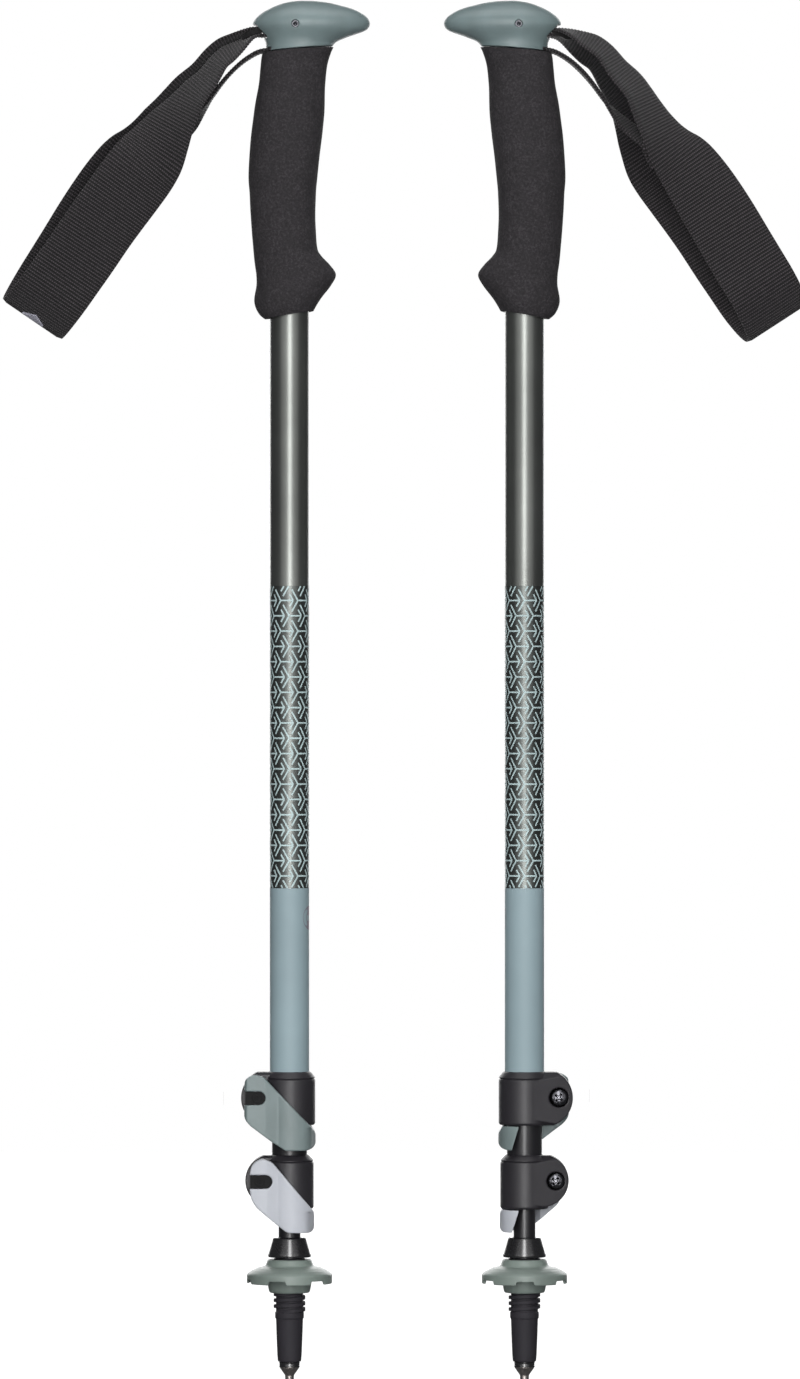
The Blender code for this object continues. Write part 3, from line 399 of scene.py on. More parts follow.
def lathe_mesh(profile, steps=TUBE_STEPS, fillet=0.0, zones=()):
    """Turns a profile of radius and height about Z, with a UV map in metres round and along it.

    A profile that doesn't start and end on the axis is closed on itself. zones are the heights where the
    faces change material.
    """
    shape = bmesh.new()
    uv = shape.loops.layers.uv.new("metres")
    closed = profile[0][0] > 0 or profile[-1][0] > 0
    if fillet:
        profile = filleted(profile, fillet, closed)
    rows = []
    for radius, height in profile:
        if radius <= 0:
            rows.append([shape.verts.new((0, 0, height))] * steps)
            continue
        turns = [2 * pi * i / steps for i in range(steps)]
        rows.append([shape.verts.new((radius * cos(t), radius * sin(t), height)) for t in turns])
    lengths = [0.0]
    for a, b in zip(profile, profile[1:] + profile[:1]):
        lengths.append(lengths[-1] + dist(a, b))
    reach = max(radius for radius, _ in profile)
    count = len(rows)
    for r in range(count if closed else count - 1):
        low, high = rows[r], rows[(r + 1) % count]
        for i in range(steps):
            j = (i + 1) % steps
            corners = [(low[i], i, r), (low[j], i + 1, r), (high[j], i + 1, r + 1), (high[i], i, r + 1)]
            unique = [c for k, c in enumerate(corners) if c[0] not in [d[0] for d in corners[:k]]]
            if len(unique) < 3:
                continue
            face = shape.faces.new([c[0] for c in unique])
            for loop, (_, turn, row) in zip(face.loops, unique):
                loop[uv].uv = (2 * pi * turn / steps * reach, lengths[row])
            middle = (profile[r][1] + profile[(r + 1) % count][1]) / 2
            face.material_index = sum(middle > edge for edge in zones)
    return finish_mesh(shape)


def loft_mesh(rings, loop=False, closed_ends=True):
    """Skins rings of equal point counts."""
    shape = bmesh.new()
    rows = [[shape.verts.new(point) for point in ring] for ring in rings]
    for lower, upper in list(zip(rows, rows[1:])) + ([(rows[-1], rows[0])] if loop else []):
        for i in range(len(lower)):
            j = (i + 1) % len(lower)
            shape.faces.new((lower[i], lower[j], upper[j], upper[i]))
    if not loop and closed_ends:
        shape.faces.new(rows[0])
        shape.faces.new(rows[-1])
    return finish_mesh(shape, 50)


def prism_mesh(outline, low, high, turn=Matrix.Identity(4)):
    """A flat outline made solid from low to high along its own Z, then turned."""
    shape = bmesh.new()
    bottom = shape.faces.new([shape.verts.new((x, y, low)) for x, y in outline])
    made = bmesh.ops.extrude_face_region(shape, geom=[bottom])
    top = [v for v in made["geom"] if isinstance(v, bmesh.types.BMVert)]
    bmesh.ops.translate(shape, verts=top, vec=(0, 0, high - low))
    bmesh.ops.triangulate(shape, faces=[f for f in shape.faces if len(f.verts) > 4])
    shape.transform(turn)
    return finish_mesh(shape)


def box_mesh(low, high):
    middle, size = (Vector(low) + Vector(high)) / 2, Vector(high) - Vector(low)
    shape = bmesh.new()
    bmesh.ops.create_cube(shape, size=1, matrix=Matrix.Translation(middle) @ Matrix.Diagonal((*size, 1)))
    return finish_mesh(shape)


def rod_mesh(radius, low, high, steps=64):
    return lathe_mesh([(0, high), (radius, high), (radius, low), (0, low)], steps)


# These lay a mesh's own Z along -Y or along +X, with its own Y upright.
ALONG_Y = Matrix.Rotation(pi / 2, 4, "X")
ALONG_X = Matrix(((0, 0, 1, 0), (1, 0, 0, 0), (0, 1, 0, 0), (0, 0, 0, 1)))


def placed(mesh, at=(0, 0, 0), turn=Matrix.Identity(4)):
    mesh.transform(Matrix.Translation(at) @ turn)
    return mesh


def linked(name, data):
    """A new object in the scene."""
    obj = bpy.data.objects.new(name, data)
    bpy.context.scene.collection.objects.link(obj)
    return obj


def evaluated(mesh, set_up):
    """The mesh after the modifiers that set_up adds."""
    obj = linked("work", mesh)
    set_up(obj)
    graph = bpy.context.evaluated_depsgraph_get()
    made = bpy.data.meshes.new_from_object(obj.evaluated_get(graph))
    bpy.data.objects.remove(obj)
    return made


def combined(mesh, union=(), intersect=(), difference=()):
    """The mesh joined to some others, then kept only inside some, then cut by some."""
    tools = []

    def set_up(obj):
        for operation, others in (("UNION", union), ("INTERSECT", intersect), ("DIFFERENCE", difference)):
            for other in others:
                tools.append(linked("tool", other))
                modifier = obj.modifiers.new("Cut", "BOOLEAN")
                modifier.operation = operation
                modifier.object = tools[-1]
                modifier.solver = "EXACT"

    made = evaluated(mesh, set_up)
    for tool in tools:
        bpy.data.objects.remove(tool)
    made.set_sharp_from_angle(angle=radians(30))
    return made


def softened(mesh, voxel, rounds):
    """Remeshes a solid finely and eases its edges, as a mould's radii do."""
    def set_up(obj):
        remesh = obj.modifiers.new("Remesh", "REMESH")
        remesh.mode = "VOXEL"
        remesh.voxel_size = voxel
        ease = obj.modifiers.new("Ease", "SMOOTH")
        ease.factor = 0.5
        ease.iterations = rounds

    made = evaluated(mesh, set_up)
    made.shade_smooth()
    return made


def joined(*meshes):
    shape = bmesh.new()
    for mesh in meshes:
        shape.from_mesh(mesh)
    made = bpy.data.meshes.new("joined")
    shape.to_mesh(made)
    shape.free()
    return made


class Pole:
    """One pole: its name, and where it stands."""

    def __init__(self, name, x, turn):
        self.name = name
        self.place = Matrix.Translation((x, 0, 0)) @ Matrix.Rotation(turn, 4, "Z")

    def add(self, name, mesh, looks, body, slot, nodes=None):
        """Puts a piece in place of its CAD nodes, which are the one of its own name if none are given."""
        obj = linked(f"{self.name}_{name}_piece", mesh)
        mesh.name = name
        mesh.transform(self.place)
        if len(mesh.materials):
            mesh.materials.clear()
        for look in [looks] if isinstance(looks, str) else looks:
            mesh.materials.append(MATERIALS[look])
        if body:
            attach(obj, f"{self.name}_{body}")
        for node in [name] if nodes is None else nodes:
            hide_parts(f"{self.name}_{node}")
        return obj

    def spot(self, x, y, z):
        return tuple(self.place @ Vector((x, y, z)))


# Tip and basket
def tip_point(pole):
    mesh = lathe_mesh([
        (0, 0.0200), (0.0025, 0.0200), (0.0025, 0.0104), (0.0045, 0.0104), (0.0045, 0.0083),
        (0.00445, 0.0079), (0.00235, 0.0049), (0.00205, 0.0044), (0.00195, 0.0010), (0.00165, 0.0),
        (0.0012, 0.0), (0.0009, 0.0006), (0, 0.0006),
    ], 64, fillet=0.0002)
    pole.add("tip_point", mesh, "steel", "lower", "tip_metal")
    ring = lathe_mesh([
        (0.0044, 0.0107), (0.0047, 0.0107), (0.00485, 0.0104), (0.0046, 0.0100), (0.0046, 0.0092),
        (0.0048, 0.0086), (0.0047, 0.0083), (0.0044, 0.0083),
    ], 64, fillet=0.0001)
    pole.add("tip_ring", ring, "gloss", "lower", "tip_metal", [])


def thread_mesh():
    """The basket's thread: one swept ridge with three and a bit turns, which fades out at both ends."""
    turns, per_turn, fade, start = 3.15, 64, 10, 0.0338
    rings = []
    for i in range(int(turns * per_turn) + 1):
        angle = 2 * pi * i / per_turn - 2.2
        height = start + THREAD_PITCH * i / per_turn
        ease = smooth(i / fade) * smooth((turns * per_turn - i) / fade)
        crest = THREAD_ROOT_R + (THREAD_R + 0.00012 - THREAD_ROOT_R) * ease
        section = [
            (THREAD_ROOT_R - 0.0003, -0.00098), (crest - 0.00012, -0.00082), (crest, -0.00068),
            (crest, 0.00068), (crest - 0.00012, 0.00082), (THREAD_ROOT_R - 0.0003, 0.00098),
        ]
        rings.append([(r * cos(angle), r * sin(angle), height + z) for r, z in section])
    return loft_mesh(rings)


def tip_body(pole):
    body = lathe_mesh([
        (0, 0.0317), (0.0056, 0.0317), (0.0056, 0.0580), (THREAD_R, 0.0580), (THREAD_R, 0.0428),
        (THREAD_ROOT_R, 0.0424), (THREAD_ROOT_R, 0.0336), (0.0066, 0.0334), (0.0066, 0.0308),
        (0.0062, 0.0304), (0.0060, 0.0240), (0.0056, 0.0140), (0.00535, 0.0111), (0.0050, 0.01075),
        (0.0028, 0.01075), (0.0028, 0.0203), (0, 0.0203),
    ], 80, fillet=0.00025)
    mesh = joined(body, thread_mesh())
    mesh.shade_smooth()
    mesh.set_sharp_from_angle(angle=radians(35))
    pole.add("tip_body", mesh, "tip_body", "lower", "tip_plastic")


def basket(pole, turn):
    profile = filleted([
        (0.00745, BASKET_TOP), (0.0098, BASKET_TOP), (0.0101, BASKET_TOP - 0.0004), (0.0109, 0.0549),
        (0.0115, 0.0544), (0.0146, 0.0537), (0.0172, 0.0525), (0.0188, 0.0515), (BASKET_R, 0.0508),
        (BASKET_R, 0.0466), (0.0185, 0.0466), (0.0181, 0.0494), (0.0106, 0.0504), (0.0104, 0.0485),
        (0.00945, 0.0431), (0.0089, BASKET_BASE), (0.00745, BASKET_BASE),
    ], 0.00025, closed=True, steps=3)
    notch = [(-0.0050, 0.0450), (0.0050, 0.0450), (0.0037, 0.0483), (-0.0037, 0.0483)]
    notches = []
    for i in range(BASKET_NOTCHES):
        angle = radians(turn - 90 + i * 360 / BASKET_NOTCHES)
        notches.append(prism_mesh(notch, 0.0150, 0.0230, Matrix.Rotation(angle, 4, "Z") @ ALONG_X))
    mesh = combined(lathe_mesh(profile, 128), difference=notches)
    mesh = softened(mesh, voxel=0.00027, rounds=3)
    pole.add("basket", mesh, "basket", "basket", "basket_plastic")


def tip_collar(pole):
    mesh = lathe_mesh([
        (0.0056, 0.0677), (0.0073, 0.0677), (0.0077, 0.0673), (0.0097, 0.0604), (0.00985, 0.0597),
        (0.0097, 0.0586), (0.0056, 0.0586),
    ], fillet=0.0003)
    pole.add("tip_collar", mesh, "gloss", "lower", "gloss_black")


# Shafts
def shafts(pole):
    inside = LOWER_END_R - WALL
    mesh = lathe_mesh([
        (LOWER_R - WALL, 0.5550), (LOWER_R, 0.5550), (LOWER_R, 0.0880), (LOWER_END_R, 0.0815),
        (LOWER_END_R, 0.0320), (inside, 0.0320), (inside, 0.0815), (LOWER_R - WALL, 0.0880),
    ], fillet=0.0006)
    pole.add("lower_shaft", mesh, "black_tube", "lower", "black_tube")
    inside = MIDDLE_R - WALL
    mesh = lathe_mesh([
        (inside, 0.5750), (MIDDLE_R, 0.5750), (MIDDLE_R, 0.0865), (inside, 0.0865),
    ], fillet=0.0002)
    pole.add("middle_shaft", mesh, "black_tube", "middle", "black_tube")
    inside = UPPER_R - WALL
    mesh = lathe_mesh([
        (inside, 0.6060), (UPPER_R, 0.6060), (UPPER_R, BAND_TOP), (UPPER_R, BAND_BASE), (UPPER_R, 0.1245),
        (inside, 0.1245),
    ], zones=(BAND_BASE, BAND_TOP))
    pole.add("upper_shaft", mesh, ["teal", "band", "gunmetal"], "upper", "gunmetal_tube")
    pole.add("shaft_pattern", pattern_mesh(), "pattern", "upper", "gunmetal_tube", [])
    pole.add("shaft_dot", dot_mesh(), "mauve", "upper", "gunmetal_tube", [])


def on_shaft(round_by, height, lift):
    """A point on the upper shaft, by its distance round from the side that faces -Y, and its height."""
    angle = -pi / 2 + round_by / UPPER_R
    return ((UPPER_R + lift) * cos(angle), (UPPER_R + lift) * sin(angle), height)


def stroke(shape, start, end, width):
    """A thin printed stroke between two points of the unrolled shaft, cut off at the band's ends."""
    low, high = BAND_BASE + BAND_MARGIN, BAND_TOP - BAND_MARGIN
    if start.y > end.y:
        start, end = end, start
    if end.y < low or start.y > high:
        return
    rise = end.y - start.y
    if rise > 0:
        first, last = max(0.0, (low - start.y) / rise), min(1.0, (high - start.y) / rise)
        start, end = start.lerp(end, first), start.lerp(end, last)
    ahead = end - start
    if ahead.length < 0.0003:
        return
    count = max(1, round(ahead.length / 0.0006))
    side = Vector((-ahead.y, ahead.x)).normalized() * width / 2
    rows = []
    for i in range(count + 1):
        middle = start.lerp(end, i / count)
        left, right = middle + side, middle - side
        rows.append([shape.verts.new(on_shaft(*p, lift)) for p, lift in (
            (left, PATTERN_SINK), (left, PATTERN_LIFT), (right, PATTERN_LIFT), (right, PATTERN_SINK))])
    for a, b in zip(rows, rows[1:]):
        for i in range(4):
            j = (i + 1) % 4
            shape.faces.new((a[i], a[j], b[j], b[i]))
    shape.faces.new(rows[0])
    shape.faces.new(rows[-1])


def pattern_mesh():
    """The printed band: rows of three-armed marks, each with an arrowhead on its right arm."""
    shape = bmesh.new()
    row_step = PATTERN_WIDTH * sqrt(3) / 2
    row, height = 0, PATTERN_TOP
    while height > BAND_BASE - row_step:
        for column in range(PATTERN_REPEATS):
            at = Vector(((column + 0.5 * (row % 2)) * PATTERN_WIDTH, height))
            head = at + Vector((PATTERN_ARM, 0))
            for start, length, turn in (
                    (at, PATTERN_ARM, 120), (at, PATTERN_ARM, 240), (at, PATTERN_ARM, 0),
                    (head, PATTERN_BARB, 120), (head, PATTERN_BARB, 240)):
                reach = length * Vector((cos(radians(turn)), sin(radians(turn))))
                stroke(shape, start, start + reach, PATTERN_LINE)
        row += 1
        height -= row_step
    return finish_mesh(shape)


def dot_mesh():
    """The plain printed dot on the side that faces the other pole."""
    round_by = UPPER_R * radians(DOT_TURN)
    turns = [2 * pi * i / 64 for i in range(64)]
    rings = []
    for share, lift in ((0.02, PATTERN_LIFT), (0.5, PATTERN_LIFT), (1.0, PATTERN_LIFT), (1.0, PATTERN_SINK)):
        size = share * DOT_R
        rings.append([
            on_shaft(round_by + size * cos(t), DOT_Z + size * sin(t), lift) for t in turns])
    return loft_mesh(rings, closed_ends=False)


# Cam locks
def lock_collar(pole, lock):
    """The split ring, its two ears, and the crisp ring round its mouth."""
    seam = lock.top - lock.rim
    body = lathe_mesh([
        (0, seam + 0.0004), (lock.radius - 0.0008, seam + 0.0004), (lock.radius - 0.0005, seam),
        (lock.radius, seam - 0.0005), (lock.radius, lock.base + 0.0009), (lock.radius - 0.0006, lock.base),
        (0, lock.base),
    ], 128)
    front = lock.pivot_y + lock.pivot_r + 0.0003
    # Seen from above, the rear ear runs off at a tangent to the ring.
    lean = radians(EAR_LEAN)
    tangent = Vector((-lock.radius * sin(lean), lock.radius * cos(lean)))
    end = tangent + Vector((-cos(lean), -sin(lean))) * 0.0260
    plan = [(0.0020, front), (-FAR, front), tuple(end)]
    plan += arc((0, 0), lock.radius - 0.00002, 90 + EAR_LEAN, 80, 6)
    top, base = lock.top - 0.0002, lock.base
    boss = placed(rod_mesh(lock.boss_r, -FAR, FAR, 160), (lock.boss_x, 0, lock.boss_z), ALONG_Y)
    # Seen from the end, the ears' top slopes like the rim, and their lower edge is cut back.
    end_view = [
        (-0.0125, base + 0.0034), (-0.0125, top - 0.0050), (-0.0045, top), (0.0045, top),
        (0.0125, top - 0.0050), (0.0125, base + 0.0034), (0.0068, base), (-0.0068, base)]
    ears = combined(prism_mesh(plan, lock.base - 0.002, lock.top + 0.002), intersect=[
        boss, prism_mesh(end_view, -FAR, 0.0030, ALONG_X)])
    outer, inner = lock.tube_r + 0.00015, lock.inner_r + 0.00015
    bore = lathe_mesh([
        (0, lock.top + 0.002), (outer, lock.top + 0.002), (outer, lock.step), (inner, lock.step),
        (inner, lock.base - 0.002), (0, lock.base - 0.002),
    ])
    floor, wide = SCREW_SEAT, lock.head_r + 0.0009
    screw_hole = placed(lathe_mesh([
        (0, 0.012), (0.0018, 0.012), (0.0018, -floor), (wide, -floor), (wide, -0.0150), (0, -0.0150),
    ], 64), (lock.screw_x, 0, lock.screw_z), ALONG_Y)
    slit = box_mesh((-FAR, -SLIT / 2, lock.base - 0.002), (-0.0060, SLIT / 2, lock.top + 0.002))
    mesh = combined(body, union=[ears], difference=[bore, slit, screw_hole])
    mesh = softened(mesh, voxel=0.00028, rounds=5)
    r, top = lock.radius, lock.top
    lean = (r - lock.top_radius) / lock.rim
    rim = lathe_mesh([
        (outer, top), (lock.top_radius - 0.0003, top), (lock.top_radius + 0.0004, top - 0.0006),
        (r - 0.0001 - lean * 0.0004, seam + 0.0009), (r - 0.00005, seam + 0.0005),
        (r - 0.0001, seam + 0.00025), (outer, seam + 0.00025),
    ], 160, fillet=0.00025)
    pole.add(f"{lock.name}_collar", joined(mesh, rim), "lock", lock.body, "lock_plastic")


def arc(centre, radius, start, end, steps):
    turns = [radians(start + (end - start) * i / steps) for i in range(steps + 1)]
    return [(centre[0] + radius * cos(t), centre[1] + radius * sin(t)) for t in turns]


def lever_plan(lock, outer_r, inner_r, end, inset=0.0):
    """The lever seen from above: a round boss about its pivot, then a plate that bends about the tubes."""
    boss = arc((lock.screw_x, lock.pivot_y), lock.pivot_r - inset, 62, 250, 24)
    front_r, ease_start, ease_end = lock.plate_out - inset, -62, -20
    start = -degrees(acos(-0.0050 / front_r))
    outer = []
    for i in range(41):
        angle = start + (end - start) * i / 40
        eased = smooth((angle - ease_start) / (ease_end - ease_start))
        radius = front_r + (outer_r - front_r) * eased
        outer.append((radius * cos(radians(angle)), radius * sin(radians(angle))))
    return boss + outer + arc((0, 0), inner_r, end, -142, 40)


def slot_outline(lock, inset):
    """The lever's slot from the front: a bar that is open at its left end and round at its right one."""
    half = lock.slot_height / 2
    middle = lock.slot_right - half
    half -= inset
    bar = [(-FAR, lock.screw_z + half), (-FAR, lock.screw_z - half)]
    return bar + arc((middle, lock.screw_z), half, -90, 90, 24)


def lock_lever(pole, lock):
    top, base = lock.top + 0.001, lock.outline[9][1] - 0.003
    plate = prism_mesh(lever_plan(lock, lock.plate_out, lock.plate_in, -40), lock.base - 0.0010, top)
    hook = prism_mesh(lever_plan(lock, lock.hook_out, lock.hook_in, 80, 0.00003), base, lock.hook_top)
    front = prism_mesh(filleted(lock.outline, 0.0012, closed=True, steps=5), -FAR, FAR, ALONG_Y)
    flat_front = box_mesh((-FAR, -FAR, base), (0, -lock.plate_out - 0.0004, top))
    slot = prism_mesh(slot_outline(lock, 0), 0.0, FAR, ALONG_Y)
    bore = placed(rod_mesh(BARREL_R + 0.0002, lock.screw_z - BARREL_HALF_LENGTH, top + 0.002),
                  (lock.screw_x, lock.pivot_y, 0))
    # Behind the tube, the hook's end slants.
    slant = prism_mesh([
        (-FAR, lock.hook_top + 0.001), (0.0023, lock.hook_top + 0.001), (0.0068, base), (-FAR, base),
    ], -FAR, -0.0010, ALONG_Y)
    mesh = combined(plate, union=[hook], intersect=[front], difference=[flat_front, slot, bore, slant])
    mesh = softened(mesh, voxel=0.00028, rounds=11)
    pole.add(f"{lock.name}_lever", mesh, lock.name, lock.lever_body, f"{lock.lever_body}_plastic")


def lock_screw(pole, lock):
    """The clamp screw: a pan head with a cross recess, in the counterbore behind the ear."""
    seat, end = -SCREW_SEAT, -lock.pivot_y + 0.0022
    r = lock.head_r + 0.0006
    body = lathe_mesh([
        (0, end), (0.0015, end), (0.0015, seat), (r, seat), (r, seat - 0.0016), (r * 0.93, seat - 0.0024),
        (r * 0.74, seat - 0.0030), (r * 0.4, seat - 0.0034), (0, seat - 0.0035),
    ], 64, fillet=0.0003)
    blade = [(-0.0026, -0.0042), (0.0026, -0.0042), (0.0012, -0.0010), (-0.0012, -0.0010)]
    blades = []
    for turn in (38, 128):
        slope = Matrix.Rotation(radians(turn), 4, "Z")
        blades.append(placed(prism_mesh(blade, -0.00045, 0.00045, ALONG_Y), (0, 0, seat), slope))
    mesh = softened(combined(body, difference=blades), voxel=0.00012, rounds=2)
    placed(mesh, (lock.screw_x, 0, lock.screw_z), ALONG_Y)
    pole.add(f"{lock.name}_screw", mesh, "black_steel", lock.body, "black_steel")


def lock_barrel(pole, lock):
    """The cross nut in the lever, and the black block round it that fills the lever's slot. The block's
    near-black, dull material is partly the insert's own black and partly painted shade in the slot.
    """
    end = BARREL_HALF_LENGTH
    barrel = lathe_mesh([(0, end), (BARREL_R, end), (BARREL_R, -end), (0, -end)], 48, fillet=0.0003)
    placed(barrel, (lock.screw_x, lock.pivot_y, lock.screw_z))
    pole.add(f"{lock.name}_barrel", barrel, "black_steel", lock.body, "black_steel")
    face = lock.plate_out - 0.0003
    rear = max(lock.screw_x - 0.0044, min(x for x, _ in lock.outline) + 0.0003)
    block = prism_mesh(slot_outline(lock, 0.00015), 0.0008 - lock.pivot_y, face, ALONG_Y)
    block = combined(block, difference=[box_mesh((-FAR, -FAR, 0), (rear, 0, lock.top + FAR))])
    centre = (lock.screw_x + 0.0008, -face, lock.screw_z)
    ring = lathe_mesh([
        (0.0011, 0.0002), (0.0021, 0.0002), (0.0023, 0.0001), (0.0023, -0.0006), (0.0011, -0.0006),
    ], 48, fillet=0.0001)
    cap = lathe_mesh([(0, 0.0002), (0.0007, 0.0002), (0.0008, -0.0006), (0, -0.0006)], 32, fillet=0.0001)
    mesh = joined(block, placed(joined(ring, cap), centre, ALONG_Y))
    pole.add(f"{lock.name}_block", mesh, "lock_inside", lock.lever_body, "black_steel", [])


# Grip
def ring_points(height, slope, rear, front, half_width, middle, count):
    """An egg-shaped ring: two half ellipses that meet at x = middle, on a plane that slopes along x."""
    points = []
    for i in range(count):
        turn = 2 * pi * i / count
        reach = front - middle if cos(turn) > 0 else middle - rear
        x = middle + reach * cos(turn)
        points.append((x, half_width * sin(turn), height + slope * x))
    return points


def grip_foam(pole):
    rings, count = [], 150
    for i in range(count + 1):
        height, rear, front, half_width = curve_point(FOAM_RINGS, (len(FOAM_RINGS) - 1) * i / count)
        share = (height - FOAM_RINGS[0][0]) / (FOAM_RINGS[-1][0] - FOAM_RINGS[0][0])
        slope = FOAM_BASE_SLOPE * (1 - smooth(share * 8)) + FOAM_TOP_SLOPE * smooth(share * 6 - 5)
        ring = ring_points(height, slope, rear, front, half_width, 0, 96)
        eased = []
        for x, y, z in ring:
            wave = noise.noise(Vector((x, y, z)) * 90) * 0.00016
            away = Vector((x, y, 0)).normalized() * wave
            eased.append((x + away.x, y + away.y, z))
        rings.append(eased)
    bore = (-FOAM_BORE_R, FOAM_BORE_R, FOAM_BORE_R)
    for height, slope in ((FOAM_TOP, FOAM_TOP_SLOPE), (FOAM_RINGS[0][0], FOAM_BASE_SLOPE)):
        rings.append(ring_points(height, slope, *bore, 0, 96))
    mesh = loft_mesh(rings, loop=True)
    foam = pole.add("grip_foam", mesh, "foam", "upper", "grip_foam")


def grip_head(pole):
    rings, count = [], 90
    for i in range(count + 1):
        height, rear, front, half_width = curve_point(HEAD_RINGS, (len(HEAD_RINGS) - 1) * i / count)
        slope = FOAM_TOP_SLOPE * (1 - smooth((height - HEAD_RINGS[0][0]) / 0.0065))
        rings.append(ring_points(height, slope, rear, front, max(half_width, 0.0005), 0.005, 128))
    body = loft_mesh(rings)
    wide = SLOT_HALF_WIDTH
    slot = prism_mesh(filleted([
        (-wide, SLOT_LOW), (wide, SLOT_LOW), (wide, SLOT_HIGH), (-wide, SLOT_HIGH),
    ], 0.0015, closed=True), -FAR, CHAMBER_FRONT, ALONG_X)
    tail_slot = box_mesh((-0.0200, -0.0066, 0.6050), (-0.0060, 0.0066, 0.6124))
    recess = placed(rod_mesh(PIN_R, -FAR, FAR, 48), (PIN_X, 0, PIN_Z), ALONG_Y)
    mesh = combined(body, difference=[slot, tail_slot, recess])
    pole.add("grip_head", softened(mesh, voxel=0.00033, rounds=3), "head", "upper", "head_plastic")
    # The pin is rolled from sheet, so its ends show a C. It is closed further in.
    outer, tip, deep = PIN_R - 0.0002, PIN_HALF_LENGTH, PIN_HALF_LENGTH - PIN_DEPTH
    inner = outer - PIN_WALL
    pin = lathe_mesh([
        (0, deep - PIN_CONE), (inner, deep), (inner, tip), (outer, tip), (outer, -tip), (inner, -tip),
        (inner, -deep), (0, PIN_CONE - deep),
    ], 48, fillet=0.0002)
    seam = combined(box_mesh((0, -0.0003, -FAR), (0.0030, 0.0003, FAR)), difference=[
        box_mesh((-0.001, -0.001, -deep), (0.0040, 0.001, deep))])
    pin = placed(combined(pin, difference=[seam]), (PIN_X, 0, PIN_Z), ALONG_Y)
    pole.add("strap_pin", pin, "black_steel", "upper", "tip_metal")


# Wrist strap
class Route:
    """The strap's middle line, by distance from the mouth of the head's slot."""

    def __init__(self):
        steps = 40
        count = steps * (len(STRAP_ROUTE) - 1) + 1
        self.points = [Vector(curve_point(STRAP_ROUTE, i / steps)) for i in range(count)]
        self.at = [0.0]
        for a, b in zip(self.points, self.points[1:]):
            self.at.append(self.at[-1] + (b - a).length)
        mouth = self.at[steps * STRAP_MOUTH_INDEX]
        self.at = [distance - mouth for distance in self.at]
        self.start, self.end = self.at[0], self.at[-1]

    def read(self, along):
        i = int(np.searchsorted(self.at, along, side="right"))
        i = min(max(i, 1), len(self.at) - 1)
        share = (along - self.at[i - 1]) / (self.at[i] - self.at[i - 1])
        point = self.points[i - 1].lerp(self.points[i], share)
        last = len(self.points) - 1
        ahead = (self.points[min(i + 6, last)] - self.points[max(i - 7, 0)]).normalized()
        return point, ahead


ROUTE = Route()


def strap_shape(along):
    """The numbers of STRAP_SHAPE at a distance, on a smooth curve through its rows."""
    rows = STRAP_SHAPE
    i = max([0] + [k for k in range(len(rows) - 1) if rows[k][0] <= along])
    before, a, b, after = rows[max(i - 1, 0)], rows[i], rows[i + 1], rows[min(i + 2, len(rows) - 1)]
    t = min(max((along - a[0]) / (b[0] - a[0]), 0.0), 1.0)
    values = []
    for n in range(1, len(a)):
        rise = (b[n] - before[n]) / (b[0] - before[0]) * (b[0] - a[0])
        fall = (after[n] - a[n]) / (after[0] - a[0]) * (b[0] - a[0])
        value = a[n] * (2 * t**3 - 3 * t**2 + 1) + b[n] * (3 * t**2 - 2 * t**3)
        values.append(value + rise * (t**3 - 2 * t**2 + t) + fall * (t**3 - t**2))
    gap, stack, roll, twist, half_width = values
    return gap, stack, radians(roll), radians(twist), half_width


def strap_station(along, side, sag):
    """Middle point, width direction and half width of one layer. Side -1 lies towards -Y and the pole."""
    point, ahead = ROUTE.read(along)
    onto_pole = Vector((-ahead[1], 0, ahead[0]))
    gap, stack, roll, twist, half_width = strap_shape(along)
    across = Vector((0, 1, 0)) * cos(roll) - onto_pole * sin(roll)
    inward = onto_pole * cos(roll) + Vector((0, 1, 0)) * sin(roll)
    past = max(0.0, (along - ROUTE.end + STRAP_BEND_LENGTH) / STRAP_BEND_LENGTH)
    gap *= sqrt(max(0.0, 1 - past * past))
    point = Vector((point[0], 0, point[1]))
    point += onto_pole * sag * sin(pi * min(max(along / STRAP_SAG_LENGTH, 0.0), 1.0))
    centre = point + across * side * gap - onto_pole * side * stack
    width = across * side * cos(twist) + inward * sin(twist)
    return centre, width, half_width


def even_stations(stations, pitch):
    """The stations read again at even distances along their centres."""
    at = [0.0]
    for a, b in zip(stations, stations[1:]):
        at.append(at[-1] + (b[0] - a[0]).length)
    out, count = [], int(at[-1] / pitch)
    for k in range(count + 1):
        along = at[-1] * k / count
        i = min(max(int(np.searchsorted(at, along, side="right")), 1), len(at) - 1)
        share = (along - at[i - 1]) / (at[i] - at[i - 1])
        (c0, w0, h0), (c1, w1, h1) = stations[i - 1], stations[i]
        out.append((c0.lerp(c1, share), w0.lerp(w1, share).normalized(), h0 + (h1 - h0) * share, along))
    return out


